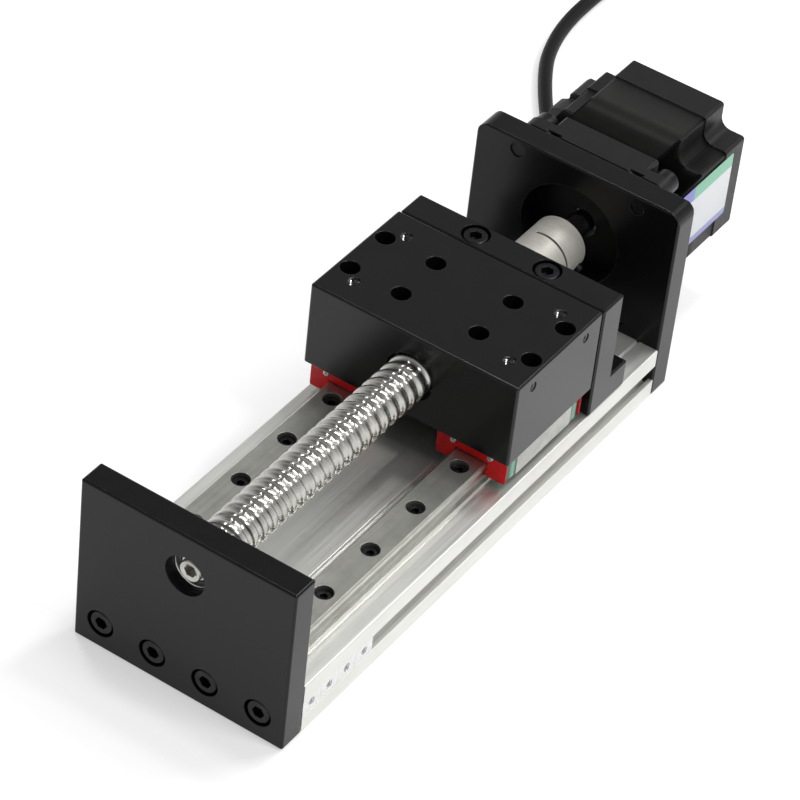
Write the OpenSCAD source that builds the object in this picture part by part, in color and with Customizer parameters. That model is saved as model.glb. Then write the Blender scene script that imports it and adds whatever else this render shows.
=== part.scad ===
// Ball screw linear module with a closed extruded base, two profile rails,
// four-row ball blocks, a machined carriage and a flange-mounted stepper motor.
// Built along Y: the end plate is at the front, the motor at the rear, +Z is up.
// The origin is under the middle of the module, on the surface it stands on.

/* [Base] */
// Width of the extruded base, of both plates and of the carriage
base_w = 80; // [78:1:110]
// Height of the extruded base
base_h = 20; // [20:1:30]
// Length of the extruded base between the two plates
base_l = 204; // [190:1:420]
// Mouth width of every T-slot
slot_w = 6.2; // [5.6:0.1:8]
// Width of every T-slot behind its lips
slot_cavity_w = 11.2; // [9.5:0.1:12]
// Thickness of the lips of every T-slot
slot_lip = 1.8; // [1.2:0.1:2.4]
// Depth of every T-slot
slot_depth = 6.2; // [5.5:0.1:6.6]
// Distance from the base's side to its outer screw channels and lower slots
channel_inset = 10; // [9.5:0.5:12]
// Depth of the two grooves beside each rail seat
seat_groove_depth = 0.8; // [0.3:0.1:1.5]
// Depth of the floor between the rails
floor_drop = 0.5; // [0.2:0.1:1]
// Half width of the floor between the rails
floor_half_w = 11.1; // [9:0.1:12]
// Distance from a rail's outer edge to the groove outside it
outer_groove_gap = 1; // [0.8:0.1:3]
// Distance from a rail's inner edge to the groove inside it
inner_groove_gap = 5.3; // [3:0.1:6]
// Half width of the three closed chambers in the base
chamber_half_w = 3.2; // [2:0.1:3.4]

/* [End plate] */
// Thickness of the end plate
front_t = 10; // [10:0.5:16]
// Height of the end plate
front_h = 65; // [62:0.5:74]
// Edge break of the plates, the carriage and the housing
edge = 0.6; // [0.3:0.1:1]
// Height of the screw channels and of the plate screws above the ground
plate_screw_z = 10; // [9.5:0.5:12]

/* [Rails and blocks] */
// Distance between the centre lines of the two rails
rail_spacing = 50; // [49:0.5:56]
// Width of a rail
rail_w = 12; // [11:0.5:13]
// Height of a rail
rail_h = 8; // [7.5:0.5:9]
// Distance between two rail screws
rail_pitch = 25; // [20:1:40]
// Distance from a rail's front end to its first screw
rail_margin = 4.5; // [4:0.5:7]
// Height of a block's top above the rail's underside
block_top = 13; // [12.5:0.5:16]
// Height of a block's lower edge above the rail's underside
block_bottom = 3; // [2.5:0.1:4]
// Width of a block
block_w = 27; // [25:0.5:29]
// Length of a block's steel body
block_l = 32.4; // [28:0.2:36]
// Thickness of a block's recirculation cap
cap_t = 5; // [3.5:0.5:6]
// Thickness of a block's end seal
seal_t = 1.5; // [1:0.1:2.5]
// Distance between a block's mounting screws, both ways
block_pitch = 20; // [18:0.5:21]
// Running gap between a block and its rail
block_gap = 0.3; // [0.25:0.05:0.6]

/* [Carriage] */
// Length of the carriage
carriage_l = 50; // [48:1:60]
// Height of the carriage
carriage_h = 33; // [32:0.5:40]
// Depth of the eight counterbores in the carriage's top
carriage_cb_depth = 11; // [8:0.5:11.5]
// Distance from a rail's centre line out to the payload holes above it
payload_out = 5; // [4:0.5:6]
// Distance between the payload holes along the module
payload_y = 30; // [28:1:32]
// Thread size of the payload holes
payload_d = 5; // [4:1:5]
// Distance between the two threaded holes in each side of the carriage
side_hole_pitch = 31; // [31:1:34]
// Thread size of the holes in the carriage's sides
side_hole_size = 4; // [3:0.5:4]
// Depth of the holes in the carriage's sides
side_hole_depth = 7; // [5:0.5:8]
// Distance from the carriage's top to the holes in its sides
side_hole_drop = 5; // [4:0.5:6]
// Diameter of the eight counterbores in the carriage's top
carriage_cb_d = 6.8; // [6.4:0.1:7]
// Depth of the payload holes
payload_depth = 10; // [6:0.5:14]
// Gap between the carriage and the bearing housing at rest
home_gap = 1.2; // [1.2:0.1:40]

/* [Ball screw] */
// Outside diameter of the ball screw
screw_d = 16; // [15:0.5:16.5]
// Lead of the ball screw
lead = 5; // [4.5:0.5:6]
// Width of the land between two turns of the groove
land_w = 2; // [1.6:0.1:2.2]
// Depth of the ball groove
groove_depth = 1.05; // [0.8:0.05:1.2]
// Height of the screw's axis above the base's top
axis_rise = 29; // [28.5:0.1:31]
// Diameter of the journal in the end plate and of the one in the coupling
end_journal_d = 8; // [7:0.5:8]
// Diameter of the journal in the bearing housing
fixed_journal_d = 10; // [9.5:0.5:10.5]
// Width of the hexagon socket in the screw's front end
end_hex = 4; // [3:0.5:4.5]
// How far the screw's front end lies behind the end plate's face
end_recess = 2.5; // [1:0.5:2.5]
// How far the screw's front end stands out of its bearing
end_proud = 2; // [0.5:0.5:2]
// Outside diameter of the ball nut's body
nut_d = 25; // [24:0.5:25.2]
// Diameter of the ball nut's flange
nut_flange_d = 50; // [48:0.5:51]
// Thickness of the ball nut's flange
nut_flange_t = 7; // [6:0.5:7.5]
// Height across the two flats of the ball nut's flange
nut_flat_h = 28; // [26:0.5:28]
// Length of the ball nut
nut_l = 43; // [42:0.5:44]
// Diameter of the recirculating balls
ball_d = 2.5; // [2.3:0.1:2.5]

/* [Bearings] */
// Outside diameter of the end plate's bearing
front_bearing_d = 16; // [15:0.5:19]
// Width of the end plate's bearing
front_bearing_w = 5; // [4:0.5:6]
// Diameter of the opening in front of that bearing
front_opening_d = 14.5; // [13:0.5:14.5]
// Outside diameter of the housing's bearing
fixed_bearing_d = 22; // [21:0.5:22.5]
// Width of the housing's bearing
fixed_bearing_w = 6; // [5:0.5:6.5]

/* [Bearing housing] */
// Thickness of the housing's wall
housing_t = 11.8; // [11:0.1:14]
// Height of the housing above the base
housing_h = 45; // [44:0.5:50]
// Length of the housing's foot behind the wall
foot_l = 10; // [6:0.5:11]
// Height of the housing's foot
foot_h = 10.5; // [8:0.5:14]
// Distance between the housing's two screws
housing_screw_x = 28; // [28:0.5:29]
// Space for the coupling between the housing's front and the motor plate
coupling_bay = 43.8; // [41:0.1:60]

/* [Coupling] */
// Diameter of the coupling
coupling_d = 20; // [19:0.5:26]
// Length of the coupling
coupling_l = 25; // [22:0.5:26]
// Width of the coupling's two cross slits
coupling_slit = 0.9; // [0.6:0.1:1.2]
// Thread size of the coupling's set screws
set_screw_d = 4; // [3:0.5:4]
// Length of the coupling's set screws
set_screw_l = 7.5; // [6:0.5:8]

/* [Motor] */
// Width of the motor's square flange
motor_w = 56.4; // [56:0.2:58]
// Length of the motor behind its plate
motor_l = 54; // [50:1:120]
// Thickness of the motor plate
motor_plate_t = 10; // [8:0.5:16]
// Corner radius of the motor plate
plate_corner_r = 5; // [2:0.5:8]
// Thickness of the motor's flange
flange_t = 5; // [4:0.5:6]
// Length of the motor's front bell with its flange
front_bell_l = 11.3; // [10:0.1:14]
// Length of the motor's rear bell
rear_bell_l = 12; // [11:0.5:20]
// Distance between two of the motor's screws
motor_screw_pitch = 47.14; // [46:0.02:47.6]
// Diameter of the motor's centring spigot
pilot_d = 38.1; // [34:0.1:40]
// Height of the motor's centring spigot
pilot_h = 1.6; // [1:0.1:2.5]
// Width of the notch along each edge of the motor
notch_w = 9.7; // [9.4:0.1:10.4]
// Distance of the two small dents in the motor flange's top from the middle
dent_x = 16.2; // [14:0.2:17]

/* [Fasteners] */
// Thread size of the plate, housing and motor screws
big_screw_d = 5; // [4:0.5:5]
// Thread size of the rail, block and nut screws
small_screw_d = 3; // [2.5:0.5:3]
// Radial gap of a screw in its hole and of a seated piece in its seat
fit = 0.1; // [0.05:0.01:0.15]
// Room round a screw's head in its counterbore, as a share of the screw's size
sink_gap = 0.15; // [0.08:0.01:0.16]

/* [Cable] */
// Diameter of the motor cable
cable_d = 5.5; // [5:0.1:5.6]

/* [Hidden] */
$fn = 64;

// Places along Y, measured from the end plate's front face
y_base = front_t;
y_end = y_base + base_l;
y_motor = y_end + motor_plate_t;
total_l = y_motor + motor_l;
y_house = y_end - coupling_bay;
y_foot = y_house + housing_t;
y_car1 = y_house - home_gap;
y_car0 = y_car1 - carriage_l;
y_car = (y_car0 + y_car1)/2;

// Heights
z_car = base_h + block_top;
z_top = z_car + carriage_h;
axis_z = base_h + axis_rise;
plate_top = axis_z + motor_w/2;

// Screw channels and lower slots
core_pitch = (base_w - 2*channel_inset)/3;

// Rails
rail_x = rail_spacing/2;
end_gap = 0.3;
rail_y0 = y_base + end_gap;
rail_y1 = y_house - end_gap;
rail_cb_depth = small_screw_d + 1.5;
rail_screw_l = 8;
rail_holes = floor((rail_y1 - rail_y0 - 2*rail_margin)/rail_pitch) + 1;

// Blocks
block_half_l = block_l/2 + cap_t + seal_t;
block_screw_depth = 3.2;
cap_w = block_w - 0.6;
cap_top = block_top - 0.4;

// Screw heads: a socket head is 1.5 thread sizes plus 1 mm wide and as high as the thread
function head_d(d) = 1.5*d + 1;
function hole_r(d) = d/2 + fit;
function sink_r(d) = head_d(d)/2 + sink_gap*d;
head_sink = 0.4;
big_cb_depth = big_screw_d + head_sink;
plate_screw_l = 20;
housing_screw_depth = 5.4;
nut_screw_l = 10;
nut_screw_x = 20.5;
nut_screw_dz = 6;
seal_screw_d = 1.6;
seal_screw_x = 7.1;
seal_screw_z = 11.1;
seal_screw_l = seal_t + cap_t - 0.6;
seal_head_d = 1.55*seal_screw_d;
seal_head_t = 0.35*seal_screw_d;

// Ball screw and nut
thread_seg = 24;
root_r = screw_d/2 - groove_depth;
core_r = root_r - 0.45;
thread_y0 = y_base + 0.1;
thread_turns = floor((y_house - thread_y0)/lead);
thread_y1 = thread_y0 + thread_turns*lead;
ball_path_r = root_r + ball_d/2 + 0.1;
balls_per_turn = 16;
nut_sink = 1;
nut_y1 = y_car1 - nut_sink;
nut_y0 = nut_y1 - nut_l;
nut_body_y1 = nut_y1 - nut_flange_t;
nut_bore_r = screw_d/2 + 0.35;
nut_race_r = ball_path_r + ball_d/2 + 0.1;
nut_wiper_t = 2.5;
nut_wiper_r = nut_bore_r + 2;
nut_circuits = [nut_y0 + 0.2*nut_l, nut_y0 + 0.5*nut_l];

// Bearings
front_brg_y0 = end_recess + end_proud;
front_brg_y1 = front_brg_y0 + front_bearing_w;
fixed_shoulder = 2.2;
fixed_brg_y0 = y_house + fixed_shoulder;
fixed_brg_y1 = fixed_brg_y0 + fixed_bearing_w;
ring_clip_t = 1;
ring_seat_gap = 0.02;
ball_play = 0.04;
lock_nut_t = 4.5;
lock_nut_d = 15;
lock_slot = 1.2;

// Coupling and motor
coupling_rear_gap = 4.8;
coupling_y1 = y_end - coupling_rear_gap;
coupling_y0 = coupling_y1 - coupling_l;
slit_offset = 2;
slit_angles = [-97, -7];
web_shift = 1.2;
web_mid = (coupling_y0 + coupling_y1)/2 - web_shift;
set_screw_inset = 3;
set_screw_angles = [-27, -117];
shaft_bore_r = end_journal_d/2 + 0.03;
hub_depth = coupling_l/2 - 1.5;
motor_half = motor_w/2;
stack_y0 = y_motor + front_bell_l;
stack_y1 = total_l - rear_bell_l;
stack_inset = 0.35;
stator_bore_r = 16.5;
bell_bore_r = stator_bore_r + 5;
flange_corner_r = 4;
dent_r = 4;
dent_depth = 1.3;
rotor_gap = 0.5;
rotor_end_gap = 1;
rotor_magnet_t = 2;
rotor_cup_depth = 3;
motor_brg_d = 22;
motor_brg_w = 7;
motor_brg_y = [y_motor + 1.5, total_l - 1.5 - motor_brg_w];
screw_pos = motor_screw_pitch/2;

// Slot nuts
slot_nut_l = 9.2;
slot_nut_count = 4;
slot_nut_gap = 0.1;
slot_nut_hole = small_screw_d;

// Cable: down from its outlet to the ground, out behind the motor and round its coil
outlet_x = -motor_w/2 - 4.3;
outlet_y = total_l - 12;
outlet_z = axis_z - 11;
cable_r = cable_d/2;
lie_z = cable_r + fit/2;
cable_route = [
  [0, 0, outlet_z], [0, 0, 28], [-1, 1.5, 18], [-4, 6, 10], [-9, 13, 4.75], [-14.5, 20.5, lie_z],
  [-20.5, 29, lie_z], [-27.5, 39, lie_z], [-34.5, 49, lie_z], [-42, 59, lie_z],
  [-47.5, 67, lie_z], [-52.5, 75, lie_z], [-57, 83.5, lie_z], [-60.5, 93, lie_z],
  [-63, 103, lie_z], [-64.5, 114, lie_z], [-65, 126, lie_z], [-65, 139, lie_z], [-65, 152, lie_z]
];
coil_aside = 98.5;
coil_behind = 152;
coil_x = outlet_x - coil_aside;
coil_y = outlet_y + coil_behind;
coil_turns = 2;
coil_notch = 60;
coil_out_r = 33.5;
coil_in_r = coil_out_r - coil_turns*cable_d;
tail_route = [
  [11.8, -20.4, lie_z], [15.3, -18.4, lie_z], [18, -15.6, lie_z], [19.5, -11.4, lie_z], [19.3, -6.9, lie_z],
  [17.4, -2.6, lie_z], [14.3, 1.2, lie_z], [10.3, 4, lie_z], [5.5, 5, lie_z], [3.5, 5, lie_z]
];
connector_l = 14;
connector_w = 9;
connector_h = 6.5;

// ---------- helpers ----------

// The middle of the module's length comes over the origin
module at_origin() {
  translate([0, -total_l/2, 0]) children();
}

// A cylinder along Y, Z or X
module rod_y(x, z, r, y0, y1) {
  translate([x, y1, z]) rotate([90, 0, 0]) cylinder(r = r, h = y1 - y0);
}
module rod_z(x, y, r, z0, z1) {
  translate([x, y, z0]) cylinder(r = r, h = z1 - z0);
}
module rod_x(y, z, r, x0, x1) {
  translate([x0, y, z]) rotate([0, 90, 0]) cylinder(r = r, h = x1 - x0);
}

// A ring along Y round the screw's axis
module ring_y(r_out, r_in, y0, y1) {
  translate([0, y1, axis_z]) rotate([90, 0, 0]) linear_extrude(y1 - y0) difference() {
    circle(r = r_out);
    circle(r = r_in);
  }
}

// A turned piece: a profile of [radius, distance] turned round an axis along +Y from y0
module turned_y(y0, profile) {
  translate([0, y0, axis_z]) rotate([-90, 0, 0]) rotate_extrude() polygon(profile);
}

// An outline in X and Z drawn out along Y
module along_y(y0, y1) {
  translate([0, y1, 0]) rotate([90, 0, 0]) linear_extrude(y1 - y0) children();
}

// Outline with rounded corners: each point is [x, y, corner radius]
function unit(v) = v/norm(v);
function wrap(a) = a - 360*floor((a + 180)/360);
function corner(p, q, s, n) = q[2] == 0 ? [[q[0], q[1]]] : let (
    at = [q[0], q[1]],
    u = unit([p[0], p[1]] - at),
    v = unit([s[0], s[1]] - at),
    half = acos(u*v)/2,
    mid = at + unit(u + v)*q[2]/sin(half),
    a0 = atan2((at + u*q[2]/tan(half) - mid)[1], (at + u*q[2]/tan(half) - mid)[0]),
    a1 = atan2((at + v*q[2]/tan(half) - mid)[1], (at + v*q[2]/tan(half) - mid)[0]),
    sweep = wrap(a1 - a0))
  [for (i = [0:n]) mid + q[2]*[cos(a0 + sweep*i/n), sin(a0 + sweep*i/n)]];
function rounded(pts, n = 6) = [
  for (i = [0:len(pts) - 1])
    each corner(pts[(i + len(pts) - 1) % len(pts)], pts[i], pts[(i + 1) % len(pts)], n)
];
function mirrored(pts) = concat(pts, [for (i = [len(pts) - 1:-1:0]) [-pts[i][0], pts[i][1]]]);

// A block with all its edges broken, from its low corner to its high corner
function broken(a0, a1, b0, b1, c) = [
  [a0 + c, b0], [a1 - c, b0], [a1, b0 + c], [a1, b1 - c],
  [a1 - c, b1], [a0 + c, b1], [a0, b1 - c], [a0, b0 + c]
];
module edged_block(lo, hi, c = edge) {
  intersection() {
    translate([0, 0, lo[2]]) linear_extrude(hi[2] - lo[2]) polygon(broken(lo[0], hi[0], lo[1], hi[1], c));
    along_y(lo[1], hi[1]) polygon(broken(lo[0], hi[0], lo[2], hi[2], c));
    translate([lo[0], 0, 0]) rotate([90, 0, 90]) linear_extrude(hi[0] - lo[0])
      polygon(broken(lo[1], hi[1], lo[2], hi[2], c));
  }
}

// A socket head screw along Z, its head's underside at the origin and its head up
module socket_screw(d, l) {
  bevel = d*0.08;
  difference() {
    union() {
      translate([0, 0, -l]) cylinder(d = d, h = l + 0.01);
      rotate_extrude() polygon([
        [0, 0], [head_d(d)/2, 0], [head_d(d)/2, d - bevel], [head_d(d)/2 - bevel, d], [0, d]
      ]);
    }
    translate([0, 0, d*0.45]) cylinder(d = 0.8*d/cos(30), h = d, $fn = 6);
  }
}
module head_front(x, y, z) {
  translate([x, y, z]) rotate([90, 0, 0]) children();
}
module head_rear(x, y, z) {
  translate([x, y, z]) rotate([-90, 0, 0]) children();
}

// Balls evenly round the screw's axis
module ball_ring(n, path_r, d, y) {
  for (i = [0:n - 1])
    translate([path_r*sin(360*i/n), y, axis_z + path_r*cos(360*i/n)]) sphere(d = d, $fn = 24);
}

// The two rings of a ball bearing with their running grooves
module bearing_outer(r_out, r_in, w, y0, path_r, ball) {
  turned_y(y0, concat([[r_in, 0], [r_out, 0], [r_out, w], [r_in, w]],
    [for (i = [6:-1:-6]) let (a = i*9, r = ball/2 + ball_play)
      if (path_r + r*cos(a) > r_in) [path_r + r*cos(a), w/2 + r*sin(a)]]));
}
module bearing_inner(r_out, r_in, w, y0, path_r, ball) {
  turned_y(y0, concat([[r_out, w], [r_in, w], [r_in, 0], [r_out, 0]],
    [for (i = [-6:6]) let (a = i*9, r = ball/2 + ball_play)
      if (path_r - r*cos(a) < r_out) [path_r - r*cos(a), w/2 + r*sin(a)]]));
}

// ---------- base ----------

// A T-slot's section, its mouth at y = 0 and its depth upwards
module slot_section() {
  side = [
    [slot_w/2, -slot_lip], [slot_w/2, slot_lip], [slot_cavity_w/2, slot_lip],
    [slot_cavity_w/2, slot_lip + slot_wall_h], [slot_w/2 - fit, slot_depth]
  ];
  polygon(mirrored(side));
}

slot_wall_h = 1.6;
chamber_drop = 1.2;
chamber_slope_w = 1.4;
chamber_slope_h = 3;
chamber_roof_t = 5;
core_x = [for (i = [-1.5, -0.5, 0.5, 1.5]) i*core_pitch];

module base_section() {
  chamber_z0 = slot_depth - chamber_drop;
  difference() {
    polygon(rounded([
      [-base_w/2, 0, 0.5], [base_w/2, 0, 0.5], [base_w/2, base_h, 0.5], [-base_w/2, base_h, 0.5]
    ], 3));
    for (x = core_x) {
      translate([x, 0]) slot_section();
      translate([x, plate_screw_z]) circle(r = hole_r(big_screw_d));
    }
    for (s = [-1, 1]) translate([s*base_w/2, plate_screw_z]) rotate(s*90) slot_section();
    for (x = [-core_pitch, 0, core_pitch]) translate([x, 0]) polygon(rounded([
      [-chamber_half_w + chamber_slope_w, chamber_z0, 0.6],
      [chamber_half_w - chamber_slope_w, chamber_z0, 0.6],
      [chamber_half_w, chamber_z0 + chamber_slope_h, 0.8], [chamber_half_w, base_h - chamber_roof_t, 1],
      [-chamber_half_w, base_h - chamber_roof_t, 1], [-chamber_half_w, chamber_z0 + chamber_slope_h, 0.8]
    ], 4));
    translate([-floor_half_w, base_h - floor_drop]) square([2*floor_half_w, floor_drop + 1]);
    for (s = [-1, 1], x = [rail_x - rail_w/2 - inner_groove_gap, rail_x + rail_w/2 + outer_groove_gap])
      translate([s*x, base_h]) rotate(45)
        square(seat_groove_depth*sqrt(2), center = true);
  }
}

module base_extrusion() {
  color("gainsboro") difference() {
    along_y(y_base, y_end) base_section();
    for (s = [-1, 1], i = [0:rail_holes - 1])
      rod_z(s*rail_x, rail_y0 + rail_margin + i*rail_pitch, hole_r(small_screw_d),
        base_h + rail_h - rail_cb_depth - rail_screw_l - fit, base_h + 1);
    for (s = [-1, 1])
      rod_z(s*housing_screw_x/2, y_house + housing_t/2, hole_r(big_screw_d),
        base_h - housing_screw_depth - fit, base_h + 1);
  }
}

// Square nuts kept in the right side slot, behind the end plate
module slot_nuts() {
  neck_h = slot_w - 2*fit;
  head_h = slot_cavity_w - 1;
  head_t = slot_wall_h - 2*fit;
  x1 = base_w/2 - fit;
  x0 = base_w/2 - slot_lip - fit - head_t;
  color("silver") for (i = [0:slot_nut_count - 1]) {
    y0 = y_base + slot_nut_gap + i*(slot_nut_l + slot_nut_gap);
    difference() {
      union() {
        translate([x0, y0, plate_screw_z - head_h/2]) cube([head_t, slot_nut_l, head_h]);
        translate([x0, y0, plate_screw_z - neck_h/2]) cube([x1 - x0, slot_nut_l, neck_h]);
      }
      rod_x(y0 + slot_nut_l/2, plate_screw_z, slot_nut_hole/2, x0 - 1, x1 + 1);
    }
  }
}

// ---------- plates ----------

module front_plate() {
  color([0.1, 0.1, 0.11]) difference() {
    edged_block([-base_w/2, 0, 0], [base_w/2, front_t, front_h]);
    for (x = core_x) {
      rod_y(x, plate_screw_z, hole_r(big_screw_d), -1, front_t + 1);
      rod_y(x, plate_screw_z, sink_r(big_screw_d), -1, big_cb_depth);
    }
    rod_y(0, axis_z, front_opening_d/2, -1, front_t);
    rod_y(0, axis_z, front_bearing_d/2 + ring_seat_gap, front_brg_y0, front_t + 1);
  }
}

module front_plate_screws() {
  color([0.07, 0.07, 0.07]) for (x = core_x)
    head_front(x, big_cb_depth, plate_screw_z)
      socket_screw(big_screw_d, front_t - big_cb_depth + plate_screw_l);
}

module motor_plate() {
  outline = rounded([
    [-base_w/2, 0, edge], [base_w/2, 0, edge],
    [base_w/2, plate_top, plate_corner_r], [-base_w/2, plate_top, plate_corner_r]
  ]);
  color([0.1, 0.1, 0.11]) difference() {
    intersection() {
      along_y(y_end, y_motor) polygon(outline);
      translate([-base_w, 0, 0]) rotate([90, 0, 90]) linear_extrude(2*base_w)
        polygon(broken(y_end, y_motor, 0, plate_top, edge));
      linear_extrude(2*plate_top) polygon(broken(-base_w/2, base_w/2, y_end, y_motor, edge));
    }
    rod_y(0, axis_z, pilot_d/2 + fit, y_end - 1, y_motor + 1);
    for (x = [-1, 1], z = [-1, 1])
      rod_y(x*screw_pos, axis_z + z*screw_pos, hole_r(big_screw_d), y_end - 1, y_motor + 1);
    for (x = core_x) {
      rod_y(x, plate_screw_z, hole_r(big_screw_d), y_end - 1, y_motor + 1);
      rod_y(x, plate_screw_z, sink_r(big_screw_d), y_motor - big_cb_depth, y_motor + 1);
    }
  }
}

module motor_plate_screws() {
  color([0.07, 0.07, 0.07]) for (x = core_x)
    head_rear(x, y_motor - big_cb_depth, plate_screw_z)
      socket_screw(big_screw_d, motor_plate_t - big_cb_depth + plate_screw_l);
}

// ---------- front bearing ----------

front_ball = 2.4;
front_path_r = (end_journal_d + front_bearing_d)/4;
front_inner_r = front_path_r - 0.9;
front_outer_in_r = front_path_r + 0.9;
shield_t = 0.3;

module front_bearing_outer_ring() {
  color("silver") bearing_outer(front_bearing_d/2, front_outer_in_r, front_bearing_w,
    front_brg_y0, front_path_r, front_ball);
}
module front_bearing_inner_ring() {
  color("silver") bearing_inner(front_inner_r, end_journal_d/2 + ring_seat_gap, front_bearing_w,
    front_brg_y0, front_path_r, front_ball);
}
module front_bearing_shields() {
  color([0.3, 0.3, 0.3]) for (y = [front_brg_y0 + shield_t, front_brg_y1 - 2*shield_t])
    ring_y(front_outer_in_r - ring_seat_gap, front_inner_r + shield_t, y, y + shield_t);
}
module front_bearing_balls() {
  color("silver") ball_ring(11, front_path_r, front_ball, (front_brg_y0 + front_brg_y1)/2);
}

// ---------- rails ----------

// Each flank of a rail has one deep groove for the balls
rail_groove = 0.9;
rail_edge = 0.5;
rail_foot_edge = 0.3;
rail_groove_z = [0.42*rail_h, 0.52*rail_h, 0.62*rail_h, 0.74*rail_h];
module rail(s) {
  side = [
    [rail_w/2 - rail_foot_edge, 0], [rail_w/2, rail_foot_edge], [rail_w/2, rail_groove_z[0]],
    [rail_w/2 - rail_groove, rail_groove_z[1]], [rail_w/2 - rail_groove, rail_groove_z[2]],
    [rail_w/2, rail_groove_z[3]], [rail_w/2, rail_h - rail_edge], [rail_w/2 - rail_edge, rail_h]
  ];
  color([0.62, 0.62, 0.6]) difference() {
    translate([s*rail_x, 0, base_h]) along_y(rail_y0, rail_y1) polygon(mirrored(side));
    for (i = [0:rail_holes - 1]) {
      y = rail_y0 + rail_margin + i*rail_pitch;
      rod_z(s*rail_x, y, hole_r(small_screw_d), base_h - 1, base_h + rail_h + 1);
      rod_z(s*rail_x, y, sink_r(small_screw_d), base_h + rail_h - rail_cb_depth, base_h + rail_h + 1);
    }
  }
}
module rail_left() rail(-1);
module rail_right() rail(1);

module rail_screws() {
  color([0.07, 0.07, 0.07]) for (s = [-1, 1], i = [0:rail_holes - 1])
    translate([s*rail_x, rail_y0 + rail_margin + i*rail_pitch, base_h + rail_h - rail_cb_depth])
      socket_screw(small_screw_d, rail_screw_l);
}

// ---------- blocks ----------

// Section of a block piece: it bridges the rail and reaches into the rail's grooves
function bridge(w, top, gap, r) = let (
    h = rail_w/2 + gap,
    tip = h - rail_groove + 0.05,
    z = rail_groove_z,
    ridge = [[h, (z[0] + z[1])/2], [tip, z[1] + gap], [tip, z[2] - gap + 0.1], [h, (z[2] + z[3])/2]],
    roof = rail_h + gap + 0.2)
  rounded(concat(
    [[-w/2, block_bottom, 0.6], [-h, block_bottom, 0]],
    [for (p = ridge) [-p[0], p[1], 0]],
    [[-h, roof, 0], [h, roof, 0]],
    [for (i = [3:-1:0]) [ridge[i][0], ridge[i][1], 0]],
    [[h, block_bottom, 0], [w/2, block_bottom, 0.6], [w/2, top, r], [-w/2, top, r]]
  ), 4);

module block_body(s) {
  color([0.66, 0.66, 0.64]) difference() {
    translate([s*rail_x, 0, base_h]) along_y(y_car - block_l/2, y_car + block_l/2)
      polygon(bridge(block_w, block_top, block_gap, 1.2));
    for (x = [-1, 1], y = [-1, 1])
      rod_z(s*rail_x + x*block_pitch/2, y_car + y*block_pitch/2, hole_r(small_screw_d),
        z_car - block_screw_depth, z_car + 1);
  }
}
module block_left() block_body(-1);
module block_right() block_body(1);

// Recirculation caps: plastic mouldings at both ends of a block, stepped in at the seal
cap_step = 1.6;
module caps(s) {
  near = block_l/2;
  far = near + cap_t;
  color([0.35, 0.62, 0.52]) difference() {
    for (e = [-1, 1]) translate([s*rail_x, y_car, base_h]) {
      along_y(min(e*near, e*(far - cap_step)), max(e*near, e*(far - cap_step)))
        polygon(bridge(cap_w, cap_top, block_gap, 1.6));
      along_y(min(e*near, e*far), max(e*near, e*far))
        polygon(bridge(cap_w - 1, cap_top - 0.5, block_gap, 1.6));
    }
    for (x = [-1, 1])
      rod_y(s*rail_x + x*seal_screw_x, base_h + seal_screw_z, hole_r(seal_screw_d),
        y_car - block_half_l, y_car + block_half_l);
  }
}
module block_caps_left() caps(-1);
module block_caps_right() caps(1);

// End seals: a red wiper plate held by two small socket screws
module seals(s) {
  color([0.75, 0.08, 0.1]) difference() {
    for (e = [-1, 1]) {
      y0 = y_car + e*(block_half_l - seal_t/2) - seal_t/2;
      translate([s*rail_x, 0, base_h]) along_y(y0, y0 + seal_t)
        polygon(bridge(cap_w, cap_top, block_gap, 1.8));
    }
    for (x = [-1, 1])
      rod_y(s*rail_x + x*seal_screw_x, base_h + seal_screw_z, hole_r(seal_screw_d),
        y_car - block_half_l - 1, y_car + block_half_l + 1);
  }
}
module block_seals_left() seals(-1);
module block_seals_right() seals(1);

module seal_screws() {
  color("silver") for (s = [-1, 1], x = [-1, 1], e = [-1, 1])
    translate([s*rail_x + x*seal_screw_x, y_car + e*block_half_l, base_h + seal_screw_z])
      rotate([e > 0 ? -90 : 90, 0, 0]) difference() {
        union() {
          translate([0, 0, -seal_screw_l]) cylinder(d = seal_screw_d, h = seal_screw_l + 0.01);
          cylinder(d1 = seal_head_d, d2 = 0.8*seal_head_d, h = seal_head_t);
        }
        cylinder(d = seal_screw_d/2/cos(30), h = 2*seal_head_t, $fn = 6);
      }
}

// ---------- carriage ----------

block_holes = [for (s = [-1, 1], x = [-1, 1], y = [-1, 1])
  [s*rail_x + x*block_pitch/2, y_car + y*block_pitch/2]];
front_bore_r = screw_d/2 + 0.9;
side_hole_d = side_hole_size - 0.7;
payload_hole_d = payload_d - 0.8;
payload_x = rail_spacing + 2*payload_out;

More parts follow.
